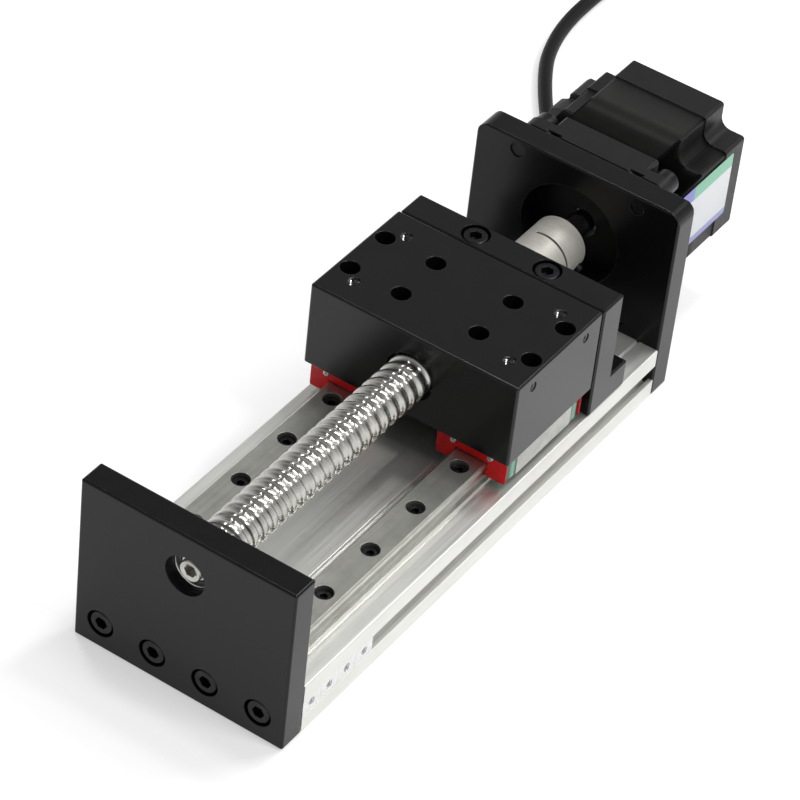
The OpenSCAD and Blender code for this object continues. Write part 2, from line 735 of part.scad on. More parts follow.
module carriage() {
  color([0.1, 0.1, 0.11]) difference() {
    edged_block([-base_w/2, y_car0, z_car], [base_w/2, y_car1, z_top]);
    rod_y(0, axis_z, front_bore_r, y_car0 - 1, y_car1);
    rod_y(0, axis_z, nut_d/2 + fit/2, nut_y0 - end_gap, y_car1);
    intersection() {
      rod_y(0, axis_z, nut_flange_d/2 + 2*fit, nut_body_y1, y_car1 + 1);
      translate([-base_w/2, nut_body_y1 - 1, axis_z - nut_flat_h/2 - 2*fit])
        cube([base_w, nut_flange_t + 4, nut_flat_h + 4*fit]);
    }
    for (p = block_holes) {
      rod_z(p[0], p[1], hole_r(small_screw_d), z_car - 1, z_top);
      rod_z(p[0], p[1], carriage_cb_d/2, z_top - carriage_cb_depth, z_top + 1);
    }
    for (x = [-1, 1], y = [-1, 1]) {
      rod_z(x*payload_x/2, y_car + y*payload_y/2, payload_hole_d/2, z_top - payload_depth, z_top + 1);
      rod_x(y_car + y*side_hole_pitch/2, z_top - side_hole_drop, side_hole_d/2,
        x > 0 ? base_w/2 - side_hole_depth : -base_w/2 - 1,
        x > 0 ? base_w/2 + 1 : -base_w/2 + side_hole_depth);
      rod_y(x*nut_screw_x, axis_z + y*nut_screw_dz, hole_r(small_screw_d),
        nut_y1 - small_screw_d - nut_screw_l - fit, nut_body_y1 + 1);
    }
  }
}

module carriage_screws() {
  l = carriage_h - carriage_cb_depth + block_screw_depth - 2*fit;
  color([0.07, 0.07, 0.07]) for (p = block_holes)
    translate([p[0], p[1], z_top - carriage_cb_depth]) socket_screw(small_screw_d, l);
}

// ---------- ball nut ----------

module ball_nut() {
  color([0.45, 0.45, 0.44]) difference() {
    union() {
      rod_y(0, axis_z, nut_d/2, nut_y0, nut_body_y1 + 1);
      intersection() {
        rod_y(0, axis_z, nut_flange_d/2, nut_body_y1, nut_y1);
        translate([-base_w/2, nut_body_y1, axis_z - nut_flat_h/2])
          cube([base_w, nut_flange_t, nut_flat_h]);
      }
    }
    rod_y(0, axis_z, nut_bore_r, nut_y0 - 1, nut_y1 + 1);
    for (y = nut_circuits) let (y0 = groove_y(y) - ball_d/2 - end_gap)
      rod_y(0, axis_z, nut_race_r, y0, y0 + lead + ball_d + 2*end_gap);
    rod_y(0, axis_z, nut_wiper_r, nut_y0 - 1, nut_y0 + nut_wiper_t);
    rod_y(0, axis_z, nut_wiper_r, nut_y1 - nut_wiper_t, nut_y1 + 1);
    for (x = [-1, 1], z = [-1, 1]) {
      rod_y(x*nut_screw_x, axis_z + z*nut_screw_dz, hole_r(small_screw_d), nut_body_y1 - 1, nut_y1 + 1);
      rod_y(x*nut_screw_x, axis_z + z*nut_screw_dz, sink_r(small_screw_d), nut_y1 - small_screw_d,
        nut_y1 + 1);
    }
  }
}
module nut_wipers() {
  color("white") for (y = [nut_y0, nut_y1 - nut_wiper_t])
    ring_y(nut_wiper_r - ring_seat_gap, nut_bore_r, y, y + nut_wiper_t);
}
module nut_screws() {
  color([0.07, 0.07, 0.07]) for (x = [-1, 1], z = [-1, 1])
    head_rear(x*nut_screw_x, nut_y1 - small_screw_d, axis_z + z*nut_screw_dz)
      socket_screw(small_screw_d, nut_screw_l);
}

// Place where the screw's groove next passes the +X side, behind y
function groove_y(y) = let (first = thread_y0 + (land_w + lead)/2)
  first + lead*ceil((y - first)/lead);
module nut_balls() {
  color("silver") for (y = nut_circuits, i = [0:balls_per_turn - 2])
    let (a = 360*i/balls_per_turn)
      translate([ball_path_r*cos(a), groove_y(y) + lead*a/360, axis_z - ball_path_r*sin(a)])
        sphere(d = ball_d, $fn = 24);
}

// ---------- ball screw ----------

// Section of one pitch of the thread: [distance along the axis, radius]
flank_w = 0.5;
flank_r = root_r + 0.3;
thread_section = [
  [0, screw_d/2], [land_w, screw_d/2], [land_w + flank_w, flank_r],
  [(land_w + lead)/2, root_r], [lead - flank_w, flank_r]
];

// The rolled thread: one section carried round the helix turn by turn, each turn's last
// edge being the next turn's first, and both ends closed by a fan from the axis
module ball_thread() {
  sec = thread_section;
  m = len(sec);
  n = (thread_turns - 1)*thread_seg;
  function at(i, j) = let (a = 360*i/thread_seg)
    [sec[j][1]*cos(a), sec[j][1]*sin(a), lead*i/thread_seg + sec[j][0]];
  function id(i, j) = i <= n ? i*m + j : (n + 1)*m + i - n - 1;
  function fan(c, ring, turn) = [for (k = [0:len(ring) - 1])
    let (p = ring[k], q = ring[(k + 1) % len(ring)]) turn ? [c, q, p] : [c, p, q]];
  points = concat(
    [for (i = [0:n], j = [0:m - 1]) at(i, j)],
    [for (i = [n + 1:n + thread_seg]) at(i, 0)],
    [[0, 0, 0], [0, 0, thread_turns*lead]]
  );
  walls = [for (i = [0:n - 1], j = [0:m - 1]) let (
      a = id(i, j),
      b = id(i + 1, j),
      c = j < m - 1 ? id(i + 1, j + 1) : id(i + 1 + thread_seg, 0),
      d = j < m - 1 ? id(i, j + 1) : id(i + thread_seg, 0))
    each [[a, c, b], [a, d, c]]];
  first = concat([for (i = [0:thread_seg]) id(i, 0)], [for (j = [m - 1:-1:1]) id(0, j)]);
  last = concat([for (i = [n:n + thread_seg]) id(i, 0)], [for (j = [m - 1:-1:1]) id(n, j)]);
  translate([0, thread_y0, axis_z]) rotate([-90, 0, 0]) polyhedron(
    points,
    concat(walls, fan(len(points) - 2, first, false), fan(len(points) - 1, last, true)),
    convexity = 10
  );
}

journal_y1 = coupling_y0 + hub_depth;
module ball_screw() {
  nose = 0.5;
  r = end_journal_d/2;
  collar_r = front_inner_r - 0.2;
  collar_y = front_brg_y1 - end_recess;
  core_y = thread_y0 - end_recess;
  color([0.75, 0.75, 0.73]) difference() {
    union() {
      ball_thread();
      turned_y(end_recess, [
        [0, 0], [r - nose, 0], [r, nose], [r, collar_y], [collar_r, collar_y], [collar_r, core_y],
        [core_r, core_y], [core_r, core_y + lead/2], [0, core_y + lead/2]
      ]);
      rod_y(0, axis_z, core_r, thread_y1 - 2*lead, fixed_brg_y0);
      rod_y(0, axis_z, fixed_journal_d/2, fixed_brg_y0 - 1, fixed_brg_y1 + lock_nut_t);
      rod_y(0, axis_z, end_journal_d/2, fixed_brg_y1, journal_y1);
    }
    head_front(0, end_recess + end_hex, axis_z) cylinder(d = end_hex/cos(30), h = 2*end_hex, $fn = 6);
  }
}

// ---------- bearing housing ----------

fixed_ball = 3.2;
fixed_path_r = (fixed_journal_d + fixed_bearing_d)/4;
fixed_inner_r = fixed_path_r - 1.1;
fixed_outer_in_r = fixed_path_r + 1.1;
shaft_gap = 1.2;
clip_r = fixed_bearing_d/2;
clip_groove = 0.7;
clip_w = 1.9;
clip_opening = 6;

module bearing_housing() {
  y_screw = y_house + housing_t/2;
  z_head = base_h + housing_h - big_cb_depth;
  color([0.1, 0.1, 0.11]) difference() {
    union() {
      edged_block([-base_w/2, y_house, base_h], [base_w/2, y_foot, base_h + housing_h]);
      edged_block([-base_w/2, y_house + edge, base_h], [base_w/2, y_foot + foot_l, base_h + foot_h]);
    }
    rod_y(0, axis_z, core_r + shaft_gap, y_house - 1, y_foot + 1);
    rod_y(0, axis_z, fixed_bearing_d/2 + ring_seat_gap, fixed_brg_y0, y_foot + foot_l + 1);
    rod_y(0, axis_z, clip_r + clip_groove, fixed_brg_y1, fixed_brg_y1 + ring_clip_t + fit);
    for (s = [-1, 1]) {
      rod_z(s*housing_screw_x/2, y_screw, hole_r(big_screw_d), base_h - 1, z_head + 1);
      rod_z(s*housing_screw_x/2, y_screw, sink_r(big_screw_d), z_head, base_h + housing_h + 1);
    }
  }
}

module housing_screws() {
  color([0.07, 0.07, 0.07]) for (s = [-1, 1])
    translate([s*housing_screw_x/2, y_house + housing_t/2, base_h + housing_h - big_cb_depth])
      socket_screw(big_screw_d, housing_h - big_cb_depth + housing_screw_depth);
}

module fixed_bearing_outer_ring() {
  color("silver") bearing_outer(fixed_bearing_d/2, fixed_outer_in_r, fixed_bearing_w,
    fixed_brg_y0, fixed_path_r, fixed_ball);
}
module fixed_bearing_inner_ring() {
  color("silver") bearing_inner(fixed_inner_r, fixed_journal_d/2 + ring_seat_gap, fixed_bearing_w,
    fixed_brg_y0, fixed_path_r, fixed_ball);
}
module fixed_bearing_balls() {
  color("silver") ball_ring(11, fixed_path_r, fixed_ball, (fixed_brg_y0 + fixed_brg_y1)/2);
}

// Open spring ring in the groove behind the outer ring
module housing_retaining_ring() {
  y0 = fixed_brg_y1 + fit/2;
  r = clip_r + clip_groove - fit;
  color([0.2, 0.2, 0.2]) difference() {
    ring_y(r, r - clip_w, y0, y0 + ring_clip_t);
    translate([-clip_opening/2, y0 - 1, axis_z - r - 1]) cube([clip_opening, ring_clip_t + 2, 2*clip_w]);
  }
}

// Slotted round nut that clamps the inner ring against the screw's shoulder
module lock_nut() {
  color([0.25, 0.25, 0.25]) difference() {
    ring_y(lock_nut_d/2, fixed_journal_d/2 + ring_seat_gap, fixed_brg_y1, fixed_brg_y1 + lock_nut_t);
    for (a = [0:90:270]) translate([0, fixed_brg_y1 + 2, axis_z]) rotate([0, a, 0])
      translate([-lock_slot, 0, lock_nut_d/2 - lock_slot]) cube([2*lock_slot, lock_nut_t, 2*lock_slot]);
  }
}

// ---------- coupling ----------

set_screw_y = [coupling_y0 + set_screw_inset, coupling_y1 - set_screw_inset];

// Places a child so that its +Z points out from the screw's axis, at an angle from +X
module outward(y, angle) {
  translate([0, y, axis_z]) rotate([0, 90 - angle, 0]) children();
}

module shaft_coupling() {
  rim = 0.4;
  r = coupling_d/2;
  web = 0.45*r;
  color([0.8, 0.8, 0.78]) difference() {
    turned_y(coupling_y0, [
      [shaft_bore_r, 0], [r - rim, 0], [r, rim], [r, coupling_l - rim],
      [r - rim, coupling_l], [shaft_bore_r, coupling_l]
    ]);
    // Two cross slits, a quarter turn apart, leave webs that bend
    for (i = [0, 1]) outward(web_mid + (2*i - 1)*slit_offset, slit_angles[i])
      translate([-r - 1, -coupling_slit/2, -web]) cube([2*r + 2, coupling_slit, 2*r]);
    for (y = set_screw_y, a = set_screw_angles) outward(y, a) cylinder(r = hole_r(set_screw_d), h = r + 1);
  }
}

module coupling_screws() {
  socket = 0.5*set_screw_d;
  color([0.07, 0.07, 0.07]) for (y = set_screw_y, a = set_screw_angles) outward(y, a)
    translate([0, 0, shaft_bore_r]) difference() {
      cylinder(d = set_screw_d, h = set_screw_l);
      translate([0, 0, set_screw_l - socket]) cylinder(d = socket/cos(30), h = socket + 1, $fn = 6);
    }
}

// ---------- motor ----------

// Square section with a notch and a hollow fillet along each edge
notch_r = 4;
lip_r = 1.2;
function motor_section(half, notch) = rounded([
  for (q = [[1, 1], [-1, 1], [-1, -1], [1, -1]]) let (
      side = [q[0]*half, q[1]*(half - notch), lip_r],
      inner = [q[0]*(half - notch), q[1]*(half - notch), notch_r],
      top = [q[0]*(half - notch), q[1]*half, lip_r])
    each q[0]*q[1] > 0 ? [side, inner, top] : [top, inner, side]
], 5);

module motor_front_bell() {
  color([0.13, 0.13, 0.13]) difference() {
    union() {
      rod_y(0, axis_z, pilot_d/2, y_motor - pilot_h, y_motor + 1);
      translate([0, 0, axis_z]) along_y(y_motor, y_motor + flange_t) polygon(rounded([
        [-motor_half, -motor_half, flange_corner_r], [motor_half, -motor_half, flange_corner_r],
        [motor_half, motor_half, flange_corner_r], [-motor_half, motor_half, flange_corner_r]
      ]));
      translate([0, 0, axis_z]) along_y(y_motor + flange_t - 0.5, stack_y0)
        polygon(motor_section(motor_half, notch_w));
    }
    rod_y(0, axis_z, end_journal_d/2 + 1.5, y_motor - pilot_h - 1, stack_y0 + 1);
    rod_y(0, axis_z, motor_brg_d/2 + ring_seat_gap, motor_brg_y[0], stack_y0 + 1);
    rod_y(0, axis_z, bell_bore_r, motor_brg_y[0] + motor_brg_w, stack_y0 + 1);
    for (x = [-1, 1]) rod_y(x*dent_x, axis_z + motor_half + dent_r - dent_depth, dent_r, y_motor - 1,
      y_motor + dent_depth);
    for (x = [-1, 1], z = [-1, 1])
      rod_y(x*screw_pos, axis_z + z*screw_pos, hole_r(big_screw_d), y_motor - 1, y_motor + flange_t + 1);
  }
}

module motor_stator() {
  color([0.2, 0.2, 0.2]) difference() {
    translate([0, 0, axis_z]) along_y(stack_y0, stack_y1)
      polygon(motor_section(motor_half - stack_inset, notch_w));
    rod_y(0, axis_z, stator_bore_r, stack_y0 - 1, stack_y1 + 1);
  }
}

module motor_rear_bell() {
  color([0.13, 0.13, 0.13]) difference() {
    translate([0, 0, axis_z]) along_y(stack_y1, total_l)
      polygon(motor_section(motor_half, notch_w));
    rod_y(0, axis_z, motor_brg_d/2 + ring_seat_gap, stack_y1 - 1, motor_brg_y[1] + motor_brg_w);
    rod_y(0, axis_z, bell_bore_r, stack_y1 - 1, motor_brg_y[1]);
  }
}

module motor_screws() {
  color([0.07, 0.07, 0.07]) for (x = [-1, 1], z = [-1, 1])
    head_rear(x*screw_pos, y_motor + flange_t, axis_z + z*screw_pos)
      socket_screw(big_screw_d, flange_t + motor_plate_t - 0.5);
}

motor_ball = 3.5;
motor_path_r = (end_journal_d + motor_brg_d)/4;
module motor_bearing_outer_rings() {
  color("silver") for (y = motor_brg_y)
    bearing_outer(motor_brg_d/2, motor_path_r + 1.3, motor_brg_w, y, motor_path_r, motor_ball);
}
module motor_bearing_inner_rings() {
  color("silver") for (y = motor_brg_y)
    bearing_inner(motor_path_r - 1.3, end_journal_d/2 + ring_seat_gap, motor_brg_w, y, motor_path_r,
      motor_ball);
}
module motor_bearing_balls() {
  color("silver") for (y = motor_brg_y) ball_ring(7, motor_path_r, motor_ball, y + motor_brg_w/2);
}

module motor_shaft() {
  r = end_journal_d/2;
  y0 = coupling_y1 - hub_depth;
  flat = 0.5;
  color("silver") difference() {
    rod_y(0, axis_z, r, y0, motor_brg_y[1] + motor_brg_w);
    translate([-r, y0 - 1, axis_z + r - flat]) cube([2*r, hub_depth + 3, 2*flat]);
  }
}

// Two rotor cups on the shaft with the magnet's narrower disc between them
module motor_rotor() {
  r = stator_bore_r - rotor_gap;
  mid = (stack_y0 + stack_y1)/2;
  color([0.3, 0.3, 0.3]) difference() {
    ring_y(r, end_journal_d/2 + ring_seat_gap, stack_y0 + rotor_end_gap, stack_y1 - rotor_end_gap);
    ring_y(r + 1, r - rotor_cup_depth, mid - rotor_magnet_t/2, mid + rotor_magnet_t/2);
  }
}

// ---------- motor cable ----------

// Moulded outlet cap on the side of the rear bell, with a tapered sleeve round the cable
module cable_outlet() {
  sleeve_l = 9;
  low = outlet_z + sleeve_l - 1;
  lead_in_w = 6.8;
  lead_in_h = 17;
  lead_in_l = 7.8;
  cap_wall = 4;
  cap_h = 20;
  cap_l = 11.2;
  boss_w = 8.3;
  boss_h = 9;
  slope = 1.5;
  step_y = outlet_y - 4.2;
  // Outlines of its two lobes, out from the motor's side and up from its lower edge
  lead_in = [
    [0, 1], [lead_in_w, 1], [lead_in_w, lead_in_h - slope], [lead_in_w - 2*slope, lead_in_h], [0, lead_in_h]
  ];
  cap = [
    [0, 0], [0, cap_h], [cap_wall - slope, cap_h], [cap_wall, cap_h - slope],
    [cap_wall, boss_h + slope], [boss_w, boss_h], [boss_w, 0]
  ];
  color([0.08, 0.08, 0.08]) union() {
    translate([-motor_half, 0, low]) mirror([1, 0, 0]) {
      along_y(step_y - lead_in_l, step_y) polygon(lead_in);
      along_y(step_y, step_y + cap_l) polygon(cap);
    }
    translate([outlet_x, outlet_y, outlet_z])
      cylinder(r1 = cable_r + 0.8, r2 = cable_r + 1.4, h = sleeve_l);
  }
}

// A tube swept along the route, with a closed ring of points square to the path at each point
module swept_tube(path, r, sides) {
  n = len(path);
  function along(i) = unit(path[min(i + 1, n - 1)] - path[max(i - 1, 0)]);
  function side(t) = unit(cross(t, [0.13, 0.21, 1]));
  rings = [for (i = [0:n - 1]) let (t = along(i), u = side(t), v = cross(t, u))
    for (k = [0:sides - 1]) path[i] + r*(u*cos(360*k/sides) + v*sin(360*k/sides))];
  walls = [for (i = [0:n - 2], k = [0:sides - 1]) let (
      a = i*sides + k,
      b = i*sides + (k + 1) % sides)
    each [[a, b, b + sides], [a, b + sides, a + sides]]];
  ends = [[for (k = [sides - 1:-1:0]) k], [for (k = [0:sides - 1]) (n - 1)*sides + k]];
  polyhedron(rings, concat(walls, ends), convexity = 6);
}

module motor_cable() {
  color([0.06, 0.06, 0.06]) translate([outlet_x, outlet_y, 0]) swept_tube(cable_route, cable_r, 10);
}

// The spare length, wound in a flat spiral: its outer shape, open where the ends come out
module cable_coil() {
  color([0.06, 0.06, 0.06]) translate([coil_x, coil_y, 0]) rotate_extrude(angle = 360 - coil_notch)
    translate([coil_in_r - cable_r, 0]) square([coil_out_r - coil_in_r + cable_d, cable_d]);
}
module cable_tail() {
  color([0.06, 0.06, 0.06]) translate([coil_x, coil_y, 0]) swept_tube(tail_route, cable_r, 10);
}

// Tie over the coil, its ends tucked down to the ground on both sides
module cable_tie() {
  slack = 0.2;
  inner = coil_in_r - cable_r - slack;
  outer = coil_out_r + cable_r + slack;
  wall = 0.8;
  width = 4;
  color([0.9, 0.9, 0.88]) translate([coil_x, coil_y, 0]) rotate(150) rotate([90, 0, 0])
    translate([0, 0, -width/2]) linear_extrude(width) polygon(rounded([
      [inner - wall, 0, 0], [inner, 0, 0], [inner, cable_d + fit, 0], [outer, cable_d + fit, 0],
      [outer, 0, 0], [outer + wall, 0, 0], [outer + wall, cable_d + fit + wall, wall],
      [inner - wall, cable_d + fit + wall, wall]
    ], 4));
}

// Plug on the cable's end, with its latch and its contact openings
module cable_connector() {
  end = tail_route[len(tail_route) - 1];
  color([0.9, 0.9, 0.86]) translate([coil_x + end[0] - connector_l, coil_y + end[1] - connector_w/2, 0])
    difference() {
      union() {
        edged_block([0, 0, 0], [connector_l, connector_w, connector_h], 0.5);
        translate([2, connector_w/2 - 1.5, connector_h - 0.3]) cube([7, 3, 1.1]);
      }
      for (i = [0:3]) translate([-1, 1 + i*2, connector_h/2 - 0.7]) cube([6, 1.2, 1.4]);
    }
}

// ---------- assembly ----------

at_origin() {
  base_extrusion();
  front_plate();
  front_plate_screws();
  front_bearing_outer_ring();
  front_bearing_shields();
  front_bearing_balls();
  rail_left();
  rail_right();
  rail_screws();
  slot_nuts();
  bearing_housing();
  housing_screws();
  fixed_bearing_outer_ring();
  fixed_bearing_balls();
  housing_retaining_ring();
  motor_plate();
  motor_plate_screws();
  motor_front_bell();
  motor_stator();
  motor_rear_bell();
  motor_screws();
  motor_bearing_outer_rings();
  motor_bearing_balls();
  cable_outlet();
  motor_cable();
  cable_coil();
  cable_tail();
  cable_tie();
  cable_connector();
  carriage();
  block_left();
  block_right();
  block_caps_left();
  block_caps_right();
  block_seals_left();
  block_seals_right();
  seal_screws();
  carriage_screws();
  ball_nut();
  nut_wipers();
  nut_balls();
  nut_screws();
  ball_screw();
  front_bearing_inner_ring();
  fixed_bearing_inner_ring();
  lock_nut();
  shaft_coupling();
  coupling_screws();
  motor_shaft();
  motor_rotor();
  motor_bearing_inner_rings();
}
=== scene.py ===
"""Looks of a ball screw linear module: finishes, fine parts, floor, lamps and camera.

Everything is in metres in the module's own frame: +Y runs from the end plate to the
motor, +Z is up, and the origin is on the ground under the middle of the module.
"""

import math

import bmesh
import bpy
from bpy.props import FloatProperty, FloatVectorProperty, IntProperty, PointerProperty
from mathutils import Matrix, Vector


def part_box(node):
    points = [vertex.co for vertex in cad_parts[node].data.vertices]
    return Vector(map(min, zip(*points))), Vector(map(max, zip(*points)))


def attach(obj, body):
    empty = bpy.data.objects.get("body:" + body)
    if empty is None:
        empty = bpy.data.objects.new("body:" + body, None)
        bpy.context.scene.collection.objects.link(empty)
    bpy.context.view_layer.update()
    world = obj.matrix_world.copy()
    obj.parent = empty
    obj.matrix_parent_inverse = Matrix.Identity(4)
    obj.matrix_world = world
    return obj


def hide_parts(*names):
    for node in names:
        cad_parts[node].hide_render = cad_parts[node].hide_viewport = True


bl_info = {
    "name": "Linear Module Looks",
    "version": (1, 0, 0),
    "blender": (4, 5, 0),
    "location": "View3D > Sidebar > Linear Module",
    "description": "Finishes and fine parts of a ball screw linear module",
    "category": "Object",
}

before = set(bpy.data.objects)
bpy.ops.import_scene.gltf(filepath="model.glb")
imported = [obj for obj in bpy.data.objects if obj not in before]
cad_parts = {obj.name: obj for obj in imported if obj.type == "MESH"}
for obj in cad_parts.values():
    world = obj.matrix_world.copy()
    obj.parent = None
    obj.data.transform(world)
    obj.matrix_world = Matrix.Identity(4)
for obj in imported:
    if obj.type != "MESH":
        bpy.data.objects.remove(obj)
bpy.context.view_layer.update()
MM = 0.001
END_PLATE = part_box("front_plate")
SCREW_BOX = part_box("ball_screw")
AXIS_Z = (SCREW_BOX[0].z + SCREW_BOX[1].z) / 2
FRONT_Y = END_PLATE[0].y


def place(x, y, z):
    """A point given in mm, its y measured from the end plate's front face."""
    return Vector((x * MM, FRONT_Y + y * MM, z * MM))


# ---------- colours and nodes ----------


def srgb(code):
    """Linear colour with alpha from an sRGB hex value."""
    parts = [int(code[i : i + 2], 16) / 255 for i in (1, 3, 5)]
    return [p / 12.92 if p <= 0.04045 else ((p + 0.055) / 1.055) ** 2.4 for p in parts] + [1.0]


def add(tree, kind, settings=None, links=None):
    """Adds one node. Settings are its sockets' values or its properties, links feed its sockets."""
    node = tree.nodes.new(kind)
    for key, value in (settings or {}).items():
        if isinstance(key, int) or key in node.inputs:
            node.inputs[key].default_value = value
        else:
            setattr(node, key, value)
    for key, source in (links or {}).items():
        tree.links.new(source, node.inputs[key])
    return node


def blank_material(name):
    """A material and its empty node tree."""
    material = bpy.data.materials.new(name)
    material.use_nodes = True
    material.node_tree.nodes.clear()
    return material, material.node_tree


def worked_surface(
    name, light, dark, metallic, roughness, grain, bump, blotch=6.0, spread=0.08, ringed=0.0, **own
):
    """A finish with a mottled colour and a worked grain.

    grain is the size of the grain in mm along X, Y and Z, bump its height in mm, blotch the
    size of the colour's mottling in mm, spread how far the roughness wanders, ringed how much
    a tool's rings round the Y axis draw the highlights out along it, and own holds values for
    the shader's other sockets. The real grain of ground, turned and anodised metal is a few
    hundredths of a millimetre, too fine to show, so it is drawn as coarse as it needs to show.
    """
    material, tree = blank_material(name)
    where = add(tree, "ShaderNodeTexCoord").outputs["Object"]
    patches = add(
        tree,
        "ShaderNodeTexNoise",
        {"Scale": 1 / (blotch * MM), "Detail": 3.0, "Roughness": 0.6},
        {"Vector": where},
    )
    stretched = add(
        tree,
        "ShaderNodeMapping",
        {"Scale": [1 / (g * MM) for g in grain]},
        {"Vector": where},
    )
    fibres = add(
        tree,
        "ShaderNodeTexNoise",
        {"Scale": 1.0, "Detail": 4.0, "Roughness": 0.65},
        {"Vector": stretched.outputs["Vector"]},
    )
    both = add(
        tree,
        "ShaderNodeMath",
        {"operation": "ADD"},
        {0: patches.outputs["Fac"], 1: fibres.outputs["Fac"]},
    )
    tone = add(
        tree,
        "ShaderNodeMapRange",
        {"From Min": 0.75, "From Max": 1.25},
        {"Value": both.outputs["Value"]},
    )
    colour = add(
        tree,
        "ShaderNodeMix",
        {"data_type": "RGBA", 6: srgb(dark), 7: srgb(light)},
        {0: tone.outputs["Result"]},
    )
    sheen = add(
        tree,
        "ShaderNodeMapRange",
        {
            "From Min": 0.3,
            "From Max": 0.7,
            "To Min": roughness - spread,
            "To Max": roughness + spread,
        },
        {"Value": fibres.outputs["Fac"]},
    )
    relief = add(
        tree,
        "ShaderNodeBump",
        {"Strength": 1.0, "Distance": bump * MM},
        {"Height": fibres.outputs["Fac"]},
    )
    shader = add(
        tree,
        "ShaderNodeBsdfPrincipled",
        {"Metallic": metallic, "Anisotropic": ringed, "Anisotropic Rotation": 0.25, **own},
        {
            "Base Color": colour.outputs[2],
            "Roughness": sheen.outputs["Result"],
            "Normal": relief.outputs["Normal"],
        },
    )
    if ringed:
        rings = add(tree, "ShaderNodeTangent", {"direction_type": "RADIAL", "axis": "Y"})
        tree.links.new(rings.outputs["Tangent"], shader.inputs["Tangent"])
    add(tree, "ShaderNodeOutputMaterial", None, {"Surface": shader.outputs["BSDF"]})
    return material


# ---------- making pieces ----------


def piece(name, vertices, faces, body, material, crease=40):
    """A mesh piece made from its points and faces, riding on a body, sharp above crease degrees."""
    mesh = bpy.data.meshes.new(name)
    mesh.from_pydata([tuple(v) for v in vertices], [], faces)
    made = bmesh.new()
    made.from_mesh(mesh)
    bmesh.ops.delete(made, geom=[v for v in made.verts if not v.link_faces], context="VERTS")
    bmesh.ops.remove_doubles(made, verts=made.verts, dist=0.001 * MM)
    bmesh.ops.recalc_face_normals(made, faces=made.faces)
    for face in made.faces:
        face.smooth = True
    for edge in made.edges:
        edge.smooth = edge.calc_face_angle(0.0) < math.radians(crease)
    made.to_mesh(mesh)
    made.free()
    item = bpy.data.objects.new(name, mesh)
    bpy.context.scene.collection.objects.link(item)
    item.data.materials.append(material)
    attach(item, body)
    return item


def ring_point(radius, angle, sides):
    """A point of a circle, or of a regular outline whose corners lie on it."""
    if sides:
        wedge = math.tau / sides
        radius *= math.cos(wedge / 2) / math.cos(angle % wedge - wedge / 2)
    return radius * math.cos(angle), radius * math.sin(angle)


def turned(profile):
    """Points and faces of a body turned round +Y: the profile holds (radius, y, sides or 0)."""
    steps = 48  # points round the axis
    vertices = []
    for radius, y, sides in profile:
        for i in range(steps):
            x, z = ring_point(radius, math.tau * i / steps, sides)
            vertices.append(Vector((x, y, z)))
    faces = []
    for k in range(len(profile) - 1):
        for i in range(steps):
            j = (i + 1) % steps
            faces.append((k * steps + i, k * steps + j, (k + 1) * steps + j, (k + 1) * steps + i))
    return vertices, faces


def tapped(mouths, way, radius, pitch, depth):
    """Points and faces of the thread in each tapped hole: crests that wind down from its mouth.

    mouths are the hole mouths' middles in metres, way the direction out of the hole, and radius
    that of the smooth hole in mm, which the thread only narrows. pitch and depth are in mm too.
    """
    way = Vector(way)
    across = way.orthogonal().normalized()
    over = way.cross(across)
    radius, pitch, depth = radius * MM, pitch * MM, depth * MM
    clear = 0.004 * MM  # room between the ridge's foot and the hole's wall
    steps = 20  # points in one turn
    ridge = 0.405 * pitch  # height of the ridge
    foot, crest = 0.48, 0.1152  # half the ridge's width below and above, as shares of the pitch
    section = ((0.0, foot), (ridge, crest), (ridge, -crest), (0.0, -foot))
    count = len(section)
    vertices, faces = [], []
    for mouth in mouths:
        first = len(vertices)
        turns = int((depth - pitch) / pitch)
        for i in range(turns * steps + 1):
            angle = math.tau * i / steps
            out = across * math.cos(angle) + over * math.sin(angle)
            fade = min(1.0, 2 * i / steps)
            for inward, along in section:
                down = pitch * (i / steps + along + 0.5)
                vertices.append(mouth + out * (radius - clear - inward * fade) - way * down)
        for i in range(turns * steps):
            for j in range(count - 1):
                a = first + i * count + j
                faces.append((a, a + 1, a + count + 1, a + count))
        last = first + turns * steps * count
        faces.append(tuple(range(first, first + count)))
        faces.append(tuple(range(last, last + count)))
    return vertices, faces


def dress(material, *nodes, edge=0.0):
    """Gives CAD nodes their finish, and breaks the edges sharper than 35 degrees by edge mm."""
    for name in nodes:
        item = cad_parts[name]
        item.data.materials.clear()
        item.data.materials.append(material)
        for polygon in item.data.polygons:
            polygon.use_smooth = True
            polygon.material_index = 0
        weld = item.modifiers.new("Weld", "WELD")
        weld.merge_threshold = 0.002 * MM
        flat = item.modifiers.new("Flat faces", "DECIMATE")
        flat.decimate_type = "DISSOLVE"
        flat.angle_limit = math.radians(1.0)
        if edge:
            broken = item.modifiers.new("Broken edges", "BEVEL")
            broken.width = edge * MM
            broken.segments = 3
            broken.limit_method = "ANGLE"
            broken.angle_limit = math.radians(35)
            broken.use_clamp_overlap = False
        even = item.modifiers.new("Even shading", "WEIGHTED_NORMAL")
        even.keep_sharp = False
        even.weight = 100


# ---------- sizes and colours that a user may change ----------


class StageSettings(bpy.types.PropertyGroup):
    """Camera, lamps and floor."""

    lens: FloatProperty(
        name="Lens", description="Focal length of the camera", default=175.77, unit="CAMERA"
    )
    key_power: FloatProperty(
        name="Main lamps",
        description="Power of each of the two main lamps",
        default=9.0,
        unit="POWER",
    )
    rim_power: FloatProperty(
        name="Rim lamps", description="Power of each small lamp overhead", default=2.8, unit="POWER"
    )
    room: FloatProperty(name="Room light", description="Even light from all sides", default=0.4)
    ceiling: FloatProperty(
        name="Ceiling", description="Brightness of the ceiling in reflections", default=0.2
    )
    floor: FloatVectorProperty(
        name="Floor",
        description="Colour with which the floor lights the module",
        default=(0.85, 0.85, 0.85),
        subtype="COLOR",
    )


